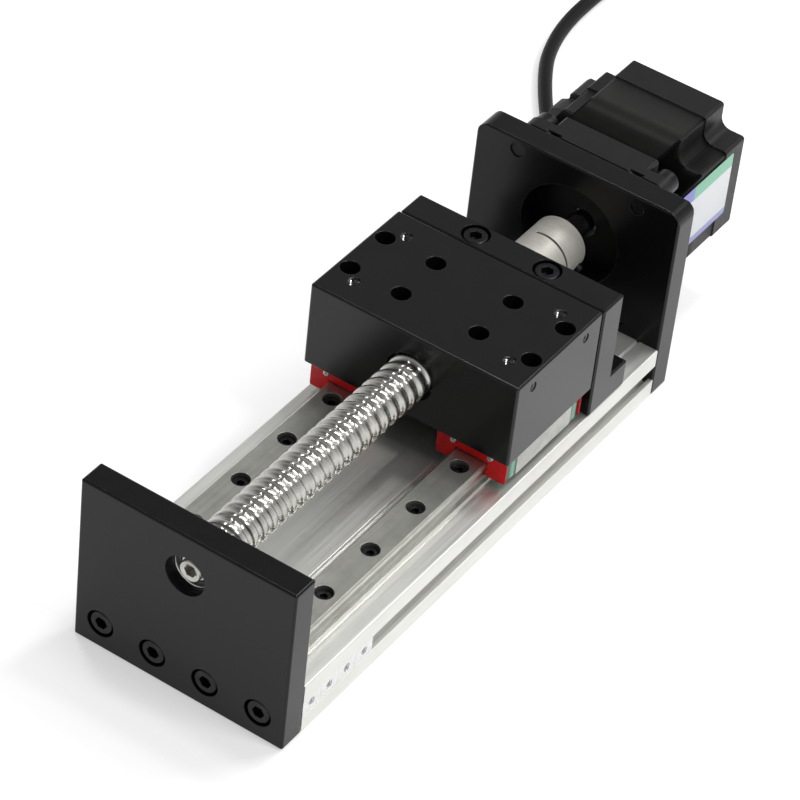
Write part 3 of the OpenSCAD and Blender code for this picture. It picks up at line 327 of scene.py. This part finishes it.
class ScrewSettings(bpy.types.PropertyGroup):
    """Ball screw's thread."""

    diameter: FloatProperty(
        name="Diameter",
        description="Outside diameter of the thread",
        default=0.016,
        unit="LENGTH",
    )
    lead: FloatProperty(
        name="Lead", description="Advance of the thread in one turn", default=0.005, unit="LENGTH"
    )
    land: FloatProperty(
        name="Land",
        description="Width of the land between two grooves",
        default=0.002,
        unit="LENGTH",
    )
    depth: FloatProperty(
        name="Groove depth", description="Depth of the ball groove", default=0.00105, unit="LENGTH"
    )
    turns: IntProperty(name="Turns", description="Whole turns of the thread", default=32)


class CableSettings(bpy.types.PropertyGroup):
    """Motor cable and its coil."""

    diameter: FloatProperty(
        name="Diameter",
        description="Outside diameter of the cable",
        default=0.0055,
        unit="LENGTH",
    )
    coil_radius: FloatProperty(
        name="Coil radius",
        description="Radius of the coil's first turn",
        default=0.0335,
        unit="LENGTH",
    )
    coil_angle: FloatProperty(
        name="Coil angle",
        description="How far the coil is wound",
        default=math.radians(660),
        subtype="ANGLE",
    )


class LabelSettings(bpy.types.PropertyGroup):
    """Plain label on the motor's side."""

    length: FloatProperty(
        name="Length", description="Length of the label", default=0.0405, unit="LENGTH"
    )
    height: FloatProperty(
        name="Height", description="Height of the label", default=0.026, unit="LENGTH"
    )


# ---------- stage ----------

# The camera's own X, Y and Z axes and its place, one to a column
CAMERA_FRAME = (
    (0.82096, -0.42787, 0.37809, 0.4718),
    (0.56407, 0.50500, -0.65330, -0.8389),
    (0.08859, 0.74960, 0.65593, 0.8601),
    (0, 0, 0, 1),
)
LIT_POINT = Vector((0, 0, 0.03))  # the module's middle, at which every lamp points
FLOOR_HALF = 6.0  # half the floor's width
FLOOR_DROP = 0.0002  # keeps the floor clear of the module's underside
# What the camera sees of the floor: how much of the lamps' light it gives back, and how much
# light it adds evenly, which together come to white where no shadow falls
FLOOR_SHADE = 0.62
FLOOR_GLOW = 0.45


def ray_tests(tree):
    """Whether the camera sees the surface, and whether metal or glass shows it."""
    path = add(tree, "ShaderNodeLightPath")
    mirrored = add(
        tree,
        "ShaderNodeMath",
        {"operation": "MAXIMUM"},
        {0: path.outputs["Is Glossy Ray"], 1: path.outputs["Is Transmission Ray"]},
    )
    return path.outputs["Is Camera Ray"], mirrored.outputs["Value"]


class LINEARMODULE_OT_stage(bpy.types.Operator):
    """Make the camera, the lamps, the floor and the background"""

    bl_idname = "linearmodule.stage"
    bl_label = "Camera, lamps and floor"

    def execute(self, context):
        settings = context.scene.module_stage
        scene = context.scene
        scene.view_settings.view_transform = "Standard"

        lens = bpy.data.cameras.new("camera")
        lens.lens = settings.lens
        lens.sensor_width = 36
        lens.clip_end = 10
        camera = bpy.data.objects.new("camera", lens)
        camera.matrix_world = Matrix(CAMERA_FRAME)
        scene.collection.objects.link(camera)
        scene.camera = camera

        # One lamp on the right and one behind it share the light, and draw the bright line along
        # the screw; the two small ones overhead only put points of light on rims and edges. Each
        # has its power, its size, the way to it from the lit point and its distance
        for name, power, size, way, away in (
            ("side_lamp", settings.key_power, 0.45, (0.72, 0.02, 0.85), 1.65),
            ("rear_lamp", settings.key_power, 0.6, (0.26, 0.5, 0.82), 1.65),
            ("rim_lamp_right", settings.rim_power, 0.15, (0.07, 0.27, 0.96), 1.3),
            ("rim_lamp_left", settings.rim_power, 0.15, (-0.29, 0.07, 0.96), 1.3),
        ):
            light = bpy.data.lights.new(name, "AREA")
            light.shape = "DISK"
            light.size = size
            light.energy = power
            lamp = bpy.data.objects.new(name, light)
            lamp.location = LIT_POINT + Vector(way).normalized() * away
            lamp.rotation_euler = Vector(way).to_track_quat("Z", "Y").to_euler()
            scene.collection.objects.link(lamp)

        world = bpy.data.worlds.new("white_room")
        scene.world = world
        world.use_nodes = True
        tree = world.node_tree
        tree.nodes.clear()
        to_camera, to_mirror = ray_tests(tree)
        way = add(tree, "ShaderNodeTexCoord")
        height = add(tree, "ShaderNodeSeparateXYZ", None, {0: way.outputs["Generated"]})
        # Metal and glass show the white walls, and a ceiling that is dimmer than they are
        ceiling = add(
            tree,
            "ShaderNodeMapRange",
            {"From Min": 0.05, "From Max": 0.75, "To Min": 1.0, "To Max": settings.ceiling},
            {"Value": height.outputs["Z"]},
        )
        lit = add(
            tree,
            "ShaderNodeMix",
            {2: settings.room},
            {0: to_mirror, 3: ceiling.outputs["Result"]},
        )
        seen = add(tree, "ShaderNodeMix", {3: 1.0}, {0: to_camera, 2: lit.outputs[0]})
        room = add(
            tree,
            "ShaderNodeBackground",
            {"Color": (1, 1, 1, 1)},
            {"Strength": seen.outputs[0]},
        )
        add(tree, "ShaderNodeOutputWorld", None, {"Surface": room.outputs["Background"]})

        # Matt white paper: an even part of its white stays in the shadow
        floor = piece_of_floor()
        paper, tree = blank_material("matt_white_paper")
        to_camera, to_mirror = ray_tests(tree)
        seen = add(
            tree, "ShaderNodeMath", {"operation": "MAXIMUM"}, {0: to_camera, 1: to_mirror}
        )
        matt = add(tree, "ShaderNodeBsdfDiffuse", {"Color": (*settings.floor, 1.0)})
        soft = add(
            tree, "ShaderNodeBsdfDiffuse", {"Color": (FLOOR_SHADE, FLOOR_SHADE, FLOOR_SHADE, 1.0)}
        )
        even = add(tree, "ShaderNodeEmission", {"Color": (1, 1, 1, 1), "Strength": FLOOR_GLOW})
        glow = add(
            tree,
            "ShaderNodeAddShader",
            None,
            {0: soft.outputs["BSDF"], 1: even.outputs["Emission"]},
        )
        mixed = add(
            tree,
            "ShaderNodeMixShader",
            None,
            {0: seen.outputs["Value"], 1: matt.outputs["BSDF"], 2: glow.outputs["Shader"]},
        )
        add(tree, "ShaderNodeOutputMaterial", None, {"Surface": mixed.outputs["Shader"]})
        floor.data.materials.append(paper)
        return {"FINISHED"}


def piece_of_floor():
    """A wide flat sheet just under the module."""
    mesh = bpy.data.meshes.new("floor")
    corners = ((-1, -1), (1, -1), (1, 1), (-1, 1))
    mesh.from_pydata(
        [(x * FLOOR_HALF, y * FLOOR_HALF, -FLOOR_DROP) for x, y in corners], [], [(0, 1, 2, 3)]
    )
    floor = bpy.data.objects.new("floor", mesh)
    bpy.context.scene.collection.objects.link(floor)
    return floor


# ---------- cable ----------

# Height of the cable's middle in mm where it lies on the ground, a hair over half its diameter
LYING = 2.8
# The cable's way from its outlet to the coil, in mm, y from the end plate's face
CABLE_ROUTE = [
    (-32.5, 266, 38), (-32.5, 266, 28), (-33.5, 267.5, 18), (-36.5, 272, 10), (-41.5, 279, 4.75),
    (-47, 286.5, LYING), (-53, 295, LYING), (-60, 305, LYING), (-67, 315, LYING),
    (-74.5, 325, LYING), (-80, 333, LYING), (-85, 341, LYING), (-89.5, 349.5, LYING),
    (-93, 359, LYING), (-95.5, 369, LYING), (-97, 380, LYING), (-97.5, 392, LYING),
    (-97.5, 405, LYING), (-97.5, 418, LYING),
]
# The cable's end inside the coil, in mm from the coil's middle
CABLE_TAIL = [
    (11.8, -20.4), (15.3, -18.4), (18, -15.6), (19.5, -11.4), (19.3, -6.9),
    (17.4, -2.6), (14.3, 1.2), (10.3, 4), (5.5, 5), (3.5, 5),
]
COIL_MIDDLE = (-131, 418)
COIL_STEP = 10  # degrees from one point of the coil to the next


class LINEARMODULE_OT_cable(bpy.types.Operator):
    """Lay the motor cable, its coil, its tie and its connector"""

    bl_idname = "linearmodule.cable"
    bl_label = "Motor cable"

    def execute(self, context):
        settings = context.scene.module_cable
        # Soft PVC, extruded: a satin black jacket with a faint waviness along it
        jacket = worked_surface(
            "extruded_soft_pvc", "#0e0e0f", "#090909", 0.0, 0.5, (1.5, 1.5, 1.5), 0.02,
            blotch=12, **{"Specular IOR Level": 0.2},
        )
        points = [place(*p) for p in CABLE_ROUTE]
        pitch = settings.diameter / math.tau
        steps = int(math.degrees(settings.coil_angle) // COIL_STEP)
        middle = place(*COIL_MIDDLE, LYING)
        for i in range(1, steps):
            turn = settings.coil_angle * i / steps
            radius = settings.coil_radius - pitch * turn
            points.append(middle + Vector((radius * math.cos(turn), radius * math.sin(turn), 0)))
        points += [middle + Vector((x * MM, y * MM, 0)) for x, y in CABLE_TAIL]
        line = bpy.data.curves.new("motor_cable_jacket", "CURVE")
        line.dimensions = "3D"
        line.bevel_depth = settings.diameter / 2
        line.bevel_resolution = 6
        spline = line.splines.new("POLY")
        smooth = rounded_route(points, 4)
        for at in smooth:
            at.z = max(at.z, settings.diameter / 2)
        spline.points.add(len(smooth) - 1)
        for point, at in zip(spline.points, smooth):
            point.co = (*at, 1.0)
        spline.use_smooth = True
        line.materials.append(jacket)
        cable = bpy.data.objects.new("motor_cable_jacket", line)
        context.scene.collection.objects.link(cable)
        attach(cable, "frame")
        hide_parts("motor_cable", "cable_coil", "cable_tail")
        # Natural nylon, moulded: warm white with a soft gloss
        nylon = worked_surface(
            "moulded_natural_nylon", "#ece9df", "#dfdbcf", 0.0, 0.4, (1.2, 1.2, 1.2), 0.01,
            **{"Subsurface Weight": 0.15, "Subsurface Scale": 0.002},
        )
        dress(nylon, "cable_tie", "cable_connector", edge=0.2)
        # Black nylon, moulded: finely spark-eroded, so it stays dull
        housing = worked_surface(
            "moulded_black_nylon", "#1d1d1e", "#141415", 0.0, 0.5, (0.6, 0.6, 0.6), 0.02,
        )
        dress(housing, "cable_outlet", edge=0.4)
        return {"FINISHED"}


def rounded_route(points, steps):
    """The points joined by a smooth line that goes through each of them."""
    out = []
    for i in range(len(points) - 1):
        p0 = points[max(i - 1, 0)]
        p1, p2 = points[i], points[i + 1]
        p3 = points[min(i + 2, len(points) - 1)]
        for k in range(steps):
            t = k / steps
            out.append(
                0.5
                * (
                    2 * p1
                    + (p2 - p0) * t
                    + (2 * p0 - 5 * p1 + 4 * p2 - p3) * t * t
                    + (3 * p1 - p0 - 3 * p2 + p3) * t * t * t
                )
            )
    return out + [points[-1]]


# ---------- base, plates and rails ----------

# Tapped holes in mm: the hole's radius and the pitch, then the depth where the hole is blind
SLOT_NUT_THREAD = (1.5, 0.5)
PAYLOAD_THREAD = (2.1, 0.8, 9.5)
SIDE_THREAD = (1.65, 0.7, 6.5)
# Where the carriage's holes are, in mm from its middle, or down from its top
PAYLOAD_HALF_SPACING = (30, 15)
SIDE_HALF_SPACING = 15.5
SIDE_DOWN = 5


class LINEARMODULE_OT_base(bpy.types.Operator):
    """Finish the extruded base and the nuts in its side slot"""

    bl_idname = "linearmodule.base"
    bl_label = "Base and slot nuts"

    def execute(self, context):
        # Clear anodised aluminium, extruded: pale grey satin with die lines along its length
        extruded = worked_surface(
            "extruded_clear_anodised_aluminium", "#e3e3df", "#d9d9d4", 0.85, 0.42,
            (0.6, 60, 0.6), 0.005, blotch=30, spread=0.05,
        )
        dress(extruded, "base_extrusion", edge=0.15)
        # Zinc-plated steel, barrel plated: bright grey with a slightly milky bloom
        plated = worked_surface(
            "zinc_plated_steel", "#e6e6e6", "#d6d6d6", 0.8, 0.3, (1, 1, 1), 0.004, blotch=3,
        )
        dress(plated, "slot_nuts", edge=0.2)
        low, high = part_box("slot_nuts")
        count, gap = 4, 0.1 * MM
        pitch = (high.y - low.y + gap) / count
        height = (low.z + high.z) / 2
        mouths = [
            Vector((high.x, low.y + pitch * (i + 0.5) - gap / 2, height)) for i in range(count)
        ]
        vertices, faces = tapped(mouths, (1, 0, 0), *SLOT_NUT_THREAD, (high.x - low.x) / MM)
        piece("slot_nut_threads", vertices, faces, "frame", plated, crease=30)
        return {"FINISHED"}


class LINEARMODULE_OT_black_parts(bpy.types.Operator):
    """Finish the plates, the carriage and the bearing housing"""

    bl_idname = "linearmodule.black_parts"
    bl_label = "Plates, carriage and housing"

    def execute(self, context):
        # Black anodised aluminium, milled: deep grey-black satin with an even, fine grain
        black = worked_surface(
            "milled_black_anodised_aluminium", "#101011", "#0b0b0c", 0.0, 0.24,
            (0.35, 0.35, 0.35), 0.003, blotch=18, spread=0.03, **{"Specular IOR Level": 0.34},
        )
        dress(black, "carriage", edge=0.3)
        dress(black, "bearing_housing", edge=0.15)
        # The plates, sanded before they were anodised: the same black, smoother and less glossy
        sanded = worked_surface(
            "sanded_black_anodised_aluminium", "#0f0f10", "#0b0b0c", 0.0, 0.26,
            (0.6, 0.6, 0.6), 0.0006, spread=0.015, **{"Specular IOR Level": 0.25},
        )
        dress(sanded, "front_plate", "motor_plate", edge=0.25)
        # The same aluminium where a tap has cut it, glossy; its colour is mottled at random between
        # near black and bright grey, painted shade and painted glints that stand in for the thread's
        # dark roots and lit crests
        cut = worked_surface(
            # near-black and bright grey: painted shade and painted glints, not the metal's own colour
            "tapped_aluminium_painted_glints", "#9b9b9f", "#060607", 0.9, 0.14,
            (0.5, 0.5, 0.5), 0.002, blotch=0.9,
        )
        low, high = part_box("carriage")
        middle = (low.y + high.y) / 2
        over, along = PAYLOAD_HALF_SPACING
        mouths = [
            Vector((x * over * MM, middle + y * along * MM, high.z))
            for x in (-1, 1)
            for y in (-1, 1)
        ]
        vertices, faces = tapped(mouths, (0, 0, 1), *PAYLOAD_THREAD)
        piece("payload_threads", vertices, faces, "carriage", cut, crease=30)
        for name, side, x in (("side_threads_left", -1, low.x), ("side_threads_right", 1, high.x)):
            mouths = [
                Vector((x, middle + y * SIDE_HALF_SPACING * MM, high.z - SIDE_DOWN * MM))
                for y in (-1, 1)
            ]
            vertices, faces = tapped(mouths, (side, 0, 0), *SIDE_THREAD)
            piece(name, vertices, faces, "carriage", cut, crease=30)
        return {"FINISHED"}


class LINEARMODULE_OT_rails(bpy.types.Operator):
    """Finish the two profile rails"""

    bl_idname = "linearmodule.rails"
    bl_label = "Rails"

    def execute(self, context):
        # Bearing steel, hardened and ground along its length: grey, with long fine scratches
        ground = worked_surface(
            "ground_rail_steel", "#bcbcb6", "#aaaaa3", 0.9, 0.36, (0.3, 40, 0.3), 0.003,
            spread=0.04,
        )
        dress(ground, "rail_left", "rail_right", edge=0.1)
        return {"FINISHED"}


class LINEARMODULE_OT_blocks(bpy.types.Operator):
    """Finish the rail blocks with their caps, seals and small screws"""

    bl_idname = "linearmodule.blocks"
    bl_label = "Rail blocks"

    def execute(self, context):
        # Steel, ground: mid grey with cross-ground scratches
        block = worked_surface(
            "ground_block_steel", "#b9b9b4", "#9c9c98", 1.0, 0.32, (20, 0.25, 0.25), 0.006,
        )
        dress(block, "block_left", "block_right", edge=0.2)
        # Acetal, moulded: grey-green with a waxy gloss
        acetal = worked_surface(
            "moulded_green_acetal", "#7cac99", "#6f9f8d", 0.0, 0.38, (1.5, 1.5, 1.5), 0.008,
            **{"Subsurface Weight": 0.1, "Subsurface Scale": 0.001},
        )
        dress(acetal, "block_caps_left", "block_caps_right")
        # Nitrile rubber moulded on steel: deep red, slightly shiny
        rubber = worked_surface(
            "moulded_red_nitrile", "#d00a12", "#b8060d", 0.0, 0.42, (1.5, 1.5, 1.5), 0.01,
            **{"Specular IOR Level": 0.25},
        )
        dress(rubber, "block_seals_left", "block_seals_right")
        # Steel, zinc plated: small bright heads
        plated = worked_surface(
            "zinc_plated_screws", "#d2d2d0", "#b3b3b2", 1.0, 0.26, (0.8, 0.8, 0.8), 0.006,
        )
        dress(plated, "seal_screws", edge=0.06)
        return {"FINISHED"}


class LINEARMODULE_OT_screws(bpy.types.Operator):
    """Finish the black screws"""

    bl_idname = "linearmodule.screws"
    bl_label = "Black screws"

    def execute(self, context):
        # Steel with black oxide, cold headed: oily dark grey with bright edges
        oxide = worked_surface(
            "black_oxide_steel", "#343436", "#202022", 0.85, 0.34, (0.6, 0.6, 0.6), 0.01, blotch=2,
        )
        dress(
            oxide,
            "front_plate_screws", "rail_screws", "housing_screws", "motor_plate_screws",
            "motor_screws", "carriage_screws", "nut_screws", "coupling_screws", "lock_nut",
            "housing_retaining_ring",
            edge=0.12,
        )
        return {"FINISHED"}


# ---------- ball screw ----------

# The plain ends of the screw as (radius, distance from the end plate's face, sides) in mm: the
# front journal with its hexagon socket, up to the first turn, then the fixed bearing's journal
# and the one in the coupling
FRONT_JOURNAL = [
    (0.05, 6.5, 0), (2.31, 6.1, 6), (2.31, 2.75, 6), (2.6, 2.5, 0), (3.6, 2.5, 0), (4, 2.9, 0),
    (4, 9.5, 0), (4.9, 9.5, 0), (4.9, 10.1, 0), (6.9, 10.1, 0),
]
REAR_JOURNAL = [
    (6.9, 170.1, 0), (6.5, 170.1, 0), (6.5, 172.4, 0), (5, 172.4, 0), (5, 182.9, 0),
    (4, 182.9, 0), (4, 195, 0), (3.8, 195.2, 0), (0.05, 195.2, 0),
]
THREAD_GAP = 0.1  # mm from the end plate to the first turn


class LINEARMODULE_OT_ball_screw(bpy.types.Operator):
    """Roll the ball screw's thread and turn its journals"""

    bl_idname = "linearmodule.ball_screw"
    bl_label = "Ball screw"

    def execute(self, context):
        settings = context.scene.module_screw
        # Screw steel, rolled and polished: bright, its highlights drawn out by lines round it
        polished = worked_surface(
            "rolled_screw_steel", "#c6c5c0", "#aeada8", 1.0, 0.22, (6, 0.8, 6), 0.0,
            spread=0.02, ringed=0.92,
        )
        self.thread(settings, polished)
        # Hardened steel, turned: dull dark grey with fine lines round it
        hardened = worked_surface(
            "turned_hardened_steel", "#8b8b8a", "#6f6f6e", 1.0, 0.36, (4, 0.15, 4), 0.006,
        )
        dress(hardened, "ball_nut", edge=0.2)
        # Polymer felt wiper, moulded: off-white and matt
        wiper = worked_surface(
            "moulded_wiper_polymer", "#e2e0d8", "#cfccc2", 0.0, 0.6, (0.5, 0.5, 0.5), 0.03,
        )
        dress(wiper, "nut_wipers")
        return {"FINISHED"}

    def thread(self, settings, material):
        """The rolled thread, as one section carried round the helix, cut square at both ends."""
        outer = settings.diameter / 2
        half = (settings.lead - settings.land) / 2
        arc = (half * half + settings.depth * settings.depth) / (2 * settings.depth)
        reach = math.asin(half / arc)
        rim = 0.28 * MM  # width of the rounding at each side of the land
        drop = 0.6 * rim
        section = [(rim, outer), (settings.land - rim, outer), (settings.land, outer - drop)]
        middle, bottom = settings.land + half, outer - settings.depth
        half_steps, round_steps = 6, 64
        for k in range(1, 2 * half_steps):
            a = reach * (k / half_steps - 1)
            section.append((middle + arc * math.sin(a), bottom + arc * (1 - math.cos(a))))
        section.append((settings.lead, outer - drop))
        start = END_PLATE[1].y + THREAD_GAP * MM
        end = start + settings.turns * settings.lead
        count = len(section)
        vertices, kept = [], []
        rings = (settings.turns + 1) * round_steps + 1
        for i in range(rings):
            a = math.tau * i / round_steps
            for along, radius in section:
                y = start + settings.lead * (i / round_steps - 1) + along
                kept.append(start <= y <= end)
                vertices.append(
                    (radius * math.cos(a), min(max(y, start), end), AXIS_Z - radius * math.sin(a))
                )
        faces = []
        for i in range(rings - 1):
            for j in range(count):
                a, b = i * count + j, (i + 1) * count + j
                if j < count - 1:
                    c, d = b + 1, a + 1
                else:
                    c, d = (i + 1 + round_steps) * count, (i + round_steps) * count
                if max(a, b, c, d) < len(vertices) and (kept[a] or kept[b] or kept[c] or kept[d]):
                    faces.append((a, b, c, d))
        for profile in (FRONT_JOURNAL, REAR_JOURNAL):
            points, sides = turned([(r * MM, y * MM, k) for r, y, k in profile])
            faces += [tuple(i + len(vertices) for i in side) for side in sides]
            vertices += [(p.x, FRONT_Y + p.y, AXIS_Z + p.z) for p in points]
        item = piece("screw_thread", vertices, faces, "screw", material)
        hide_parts("ball_screw")


class LINEARMODULE_OT_bearings(bpy.types.Operator):
    """Finish the bearings"""

    bl_idname = "linearmodule.bearings"
    bl_label = "Bearings"

    def execute(self, context):
        # Bearing steel, ground and honed: near mirror with fine lines round it
        honed = worked_surface(
            "honed_bearing_steel", "#d6d6d4", "#c0c0be", 1.0, 0.14, (3, 0.1, 3), 0.002,
        )
        dress(
            honed,
            "front_bearing_outer_ring", "front_bearing_inner_ring", "front_bearing_balls",
            "fixed_bearing_outer_ring", "fixed_bearing_inner_ring", "fixed_bearing_balls",
            "motor_bearing_outer_rings", "motor_bearing_inner_rings", "motor_bearing_balls",
            "nut_balls",
        )
        # Sheet steel, pressed: dull bright grey
        pressed = worked_surface(
            "pressed_shield_steel", "#9a9a98", "#7d7d7b", 1.0, 0.34, (0.8, 0.8, 0.8), 0.01,
        )
        dress(pressed, "front_bearing_shields")
        return {"FINISHED"}


class LINEARMODULE_OT_coupling(bpy.types.Operator):
    """Finish the coupling"""

    bl_idname = "linearmodule.coupling"
    bl_label = "Coupling"

    def execute(self, context):
        # Clear anodised aluminium, turned: warm pale grey with fine lines round it
        pale = worked_surface(
            "turned_clear_anodised_aluminium", "#bdbab3", "#aeaba4", 0.45, 0.48, (8, 0.6, 8), 0.002,
        )
        dress(pale, "shaft_coupling", edge=0.15)
        return {"FINISHED"}


class LINEARMODULE_OT_motor(bpy.types.Operator):
    """Finish the motor"""

    bl_idname = "linearmodule.motor"
    bl_label = "Motor"

    def execute(self, context):
        # Black paint on die-cast aluminium: satin with the casting's fine orange peel
        cast = worked_surface(
            "painted_die_cast_aluminium", "#131312", "#0d0d0d", 0.0, 0.42, (0.9, 0.9, 0.9), 0.01,
            **{"Specular IOR Level": 0.28},
        )
        dress(cast, "motor_rear_bell", edge=0.3)
        dress(cast, "motor_front_bell", edge=0.05)
        # Black paint on stacked laminations: fine lines across the motor's length
        stacked = worked_surface(
            "painted_steel_laminations", "#181816", "#111110", 0.0, 0.46, (14, 0.7, 14), 0.006,
            spread=0.03, **{"Specular IOR Level": 0.16},
        )
        dress(stacked, "motor_stator")
        # Shaft steel, ground: bright, with fine lines round it
        shaft = worked_surface(
            "ground_shaft_steel", "#c4c4c1", "#a7a7a4", 1.0, 0.24, (3, 0.12, 3), 0.003,
        )
        dress(shaft, "motor_shaft", edge=0.1)
        # Bare steel laminations, stacked and ground: dull blue-grey, with a line at each sheet
        rotor = worked_surface(
            "ground_rotor_laminations", "#85858a", "#616166", 1.0, 0.4, (6, 0.5, 6), 0.02,
        )
        dress(rotor, "motor_rotor")
        return {"FINISHED"}


# The label's place in mm: its start behind the end plate's face, and how far it reaches below
# the screw's axis
LABEL_START = 231
LABEL_BELOW = 10.5
# Its printed bands: heights of the lower and the upper one in mm, and the share of the upper
# one's length that has a colour of its own
LOWER_BAND = 2.8
UPPER_BAND = 5.6
CORNER_SHARE = 0.38


class LINEARMODULE_OT_label(bpy.types.Operator):
    """Stick the plain label on the motor's side"""

    bl_idname = "linearmodule.label"
    bl_label = "Motor label"

    def execute(self, context):
        settings = context.scene.module_label
        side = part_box("motor_rear_bell")[1].x
        low_y, low_z = FRONT_Y + LABEL_START * MM, AXIS_Z - LABEL_BELOW * MM
        high_y, high_z = low_y + settings.length, low_z + settings.height
        # Outline with round corners, and a film that is thinner along its cut edge
        corner, steps = 1.0 * MM, 5
        outline = []
        for y, z, turn in (
            (high_y, high_z, 0), (low_y, high_z, 1), (low_y, low_z, 2), (high_y, low_z, 3),
        ):
            for i in range(steps + 1):
                a = math.radians(90) * (turn + i / steps)
                dy, dz = math.cos(a), math.sin(a)
                mid_y = y - math.copysign(corner, y - (low_y + high_y) / 2)
                mid_z = z - math.copysign(corner, z - (low_z + high_z) / 2)
                outline.append((mid_y + corner * dy, mid_z + corner * dz, dy, dz))
        vertices, faces = [], []
        count = len(outline)
        for thick, inset in ((0.0, 0.0), (0.07, 0.0), (0.1, 0.05)):
            vertices += [
                Vector((side + thick * MM, y - dy * inset * MM, z - dz * inset * MM))
                for y, z, dy, dz in outline
            ]
        for k in range(2):
            for i in range(count):
                j = (i + 1) % count
                faces.append((k * count + i, k * count + j, (k + 1) * count + j, (k + 1) * count + i))
        faces.append(tuple(range(2 * count, 3 * count)))
        film = self.film(settings, low_y, low_z)
        piece("motor_label", vertices, faces, "frame", film)
        return {"FINISHED"}

    def film(self, settings, low_y, low_z):
        """Polyester film, printed in bands: satin, with the print's faint unevenness."""
        material, tree = blank_material("printed_polyester_film")
        where = add(tree, "ShaderNodeTexCoord").outputs["Object"]
        at = add(tree, "ShaderNodeSeparateXYZ", None, {0: where})
        low, high, front = (
            add(
                tree, "ShaderNodeMath", {"operation": test, 1: limit}, {0: at.outputs[axis]}
            ).outputs["Value"]
            for axis, test, limit in (
                ("Z", "LESS_THAN", low_z + LOWER_BAND * MM),
                ("Z", "GREATER_THAN", low_z + settings.height - UPPER_BAND * MM),
                ("Y", "LESS_THAN", low_y + CORNER_SHARE * settings.length),
            )
        )
        # A pale field, a lilac band below, and a green one above with a lilac front corner
        corner = add(tree, "ShaderNodeMath", {"operation": "MULTIPLY"}, {0: high, 1: front})
        bands = add(
            tree,
            "ShaderNodeMix",
            {"data_type": "RGBA", 6: srgb("#d3d5d8"), 7: srgb("#8f92c8")},
            {0: low},
        )
        for share, code in ((high, "#7fb79c"), (corner.outputs["Value"], "#8487c4")):
            bands = add(
                tree,
                "ShaderNodeMix",
                {"data_type": "RGBA", 7: srgb(code)},
                {0: share, 6: bands.outputs[2]},
            )
        fibres = add(
            tree,
            "ShaderNodeTexNoise",
            {"Scale": 1 / (1.2 * MM), "Detail": 3.0},
            {"Vector": where},
        )
        sheen = add(
            tree,
            "ShaderNodeMapRange",
            {"From Min": 0.3, "From Max": 0.7, "To Min": 0.36, "To Max": 0.48},
            {"Value": fibres.outputs["Fac"]},
        )
        relief = add(
            tree,
            "ShaderNodeBump",
            {"Strength": 1.0, "Distance": 0.004 * MM},
            {"Height": fibres.outputs["Fac"]},
        )
        shader = add(
            tree,
            "ShaderNodeBsdfPrincipled",
            None,
            {
                "Base Color": bands.outputs[2],
                "Roughness": sheen.outputs["Result"],
                "Normal": relief.outputs["Normal"],
            },
        )
        add(tree, "ShaderNodeOutputMaterial", None, {"Surface": shader.outputs["BSDF"]})
        return material


class LINEARMODULE_PT_looks(bpy.types.Panel):
    """Shows the settings and a button for each operator"""

    bl_label = "Linear module"
    bl_space_type = "VIEW_3D"
    bl_region_type = "UI"
    bl_category = "Linear Module"

    def draw(self, context):
        for group in SETTINGS:
            settings = getattr(context.scene, group)
            for name in settings.__annotations__:
                self.layout.prop(settings, name)
        for operator in OPERATORS:
            self.layout.operator(operator.bl_idname)


SETTINGS = {
    "module_stage": StageSettings,
    "module_screw": ScrewSettings,
    "module_cable": CableSettings,
    "module_label": LabelSettings,
}
OPERATORS = (
    LINEARMODULE_OT_stage,
    LINEARMODULE_OT_cable,
    LINEARMODULE_OT_base,
    LINEARMODULE_OT_black_parts,
    LINEARMODULE_OT_rails,
    LINEARMODULE_OT_blocks,
    LINEARMODULE_OT_screws,
    LINEARMODULE_OT_ball_screw,
    LINEARMODULE_OT_bearings,
    LINEARMODULE_OT_coupling,
    LINEARMODULE_OT_motor,
    LINEARMODULE_OT_label,
)


def register():
    for group in SETTINGS.values():
        bpy.utils.register_class(group)
    for name, group in SETTINGS.items():
        setattr(bpy.types.Scene, name, PointerProperty(type=group))
    for operator in OPERATORS:
        bpy.utils.register_class(operator)
    bpy.utils.register_class(LINEARMODULE_PT_looks)


def unregister():
    bpy.utils.unregister_class(LINEARMODULE_PT_looks)
    for operator in reversed(OPERATORS):
        bpy.utils.unregister_class(operator)
    for name in SETTINGS:
        delattr(bpy.types.Scene, name)
    for group in reversed(list(SETTINGS.values())):
        bpy.utils.unregister_class(group)


def main():
    """Registers the classes and runs every operator, which makes everything."""
    register()
    for operator in OPERATORS:
        space, name = operator.bl_idname.split(".")
        getattr(getattr(bpy.ops, space), name)()


if __name__ == "__main__":
    main()
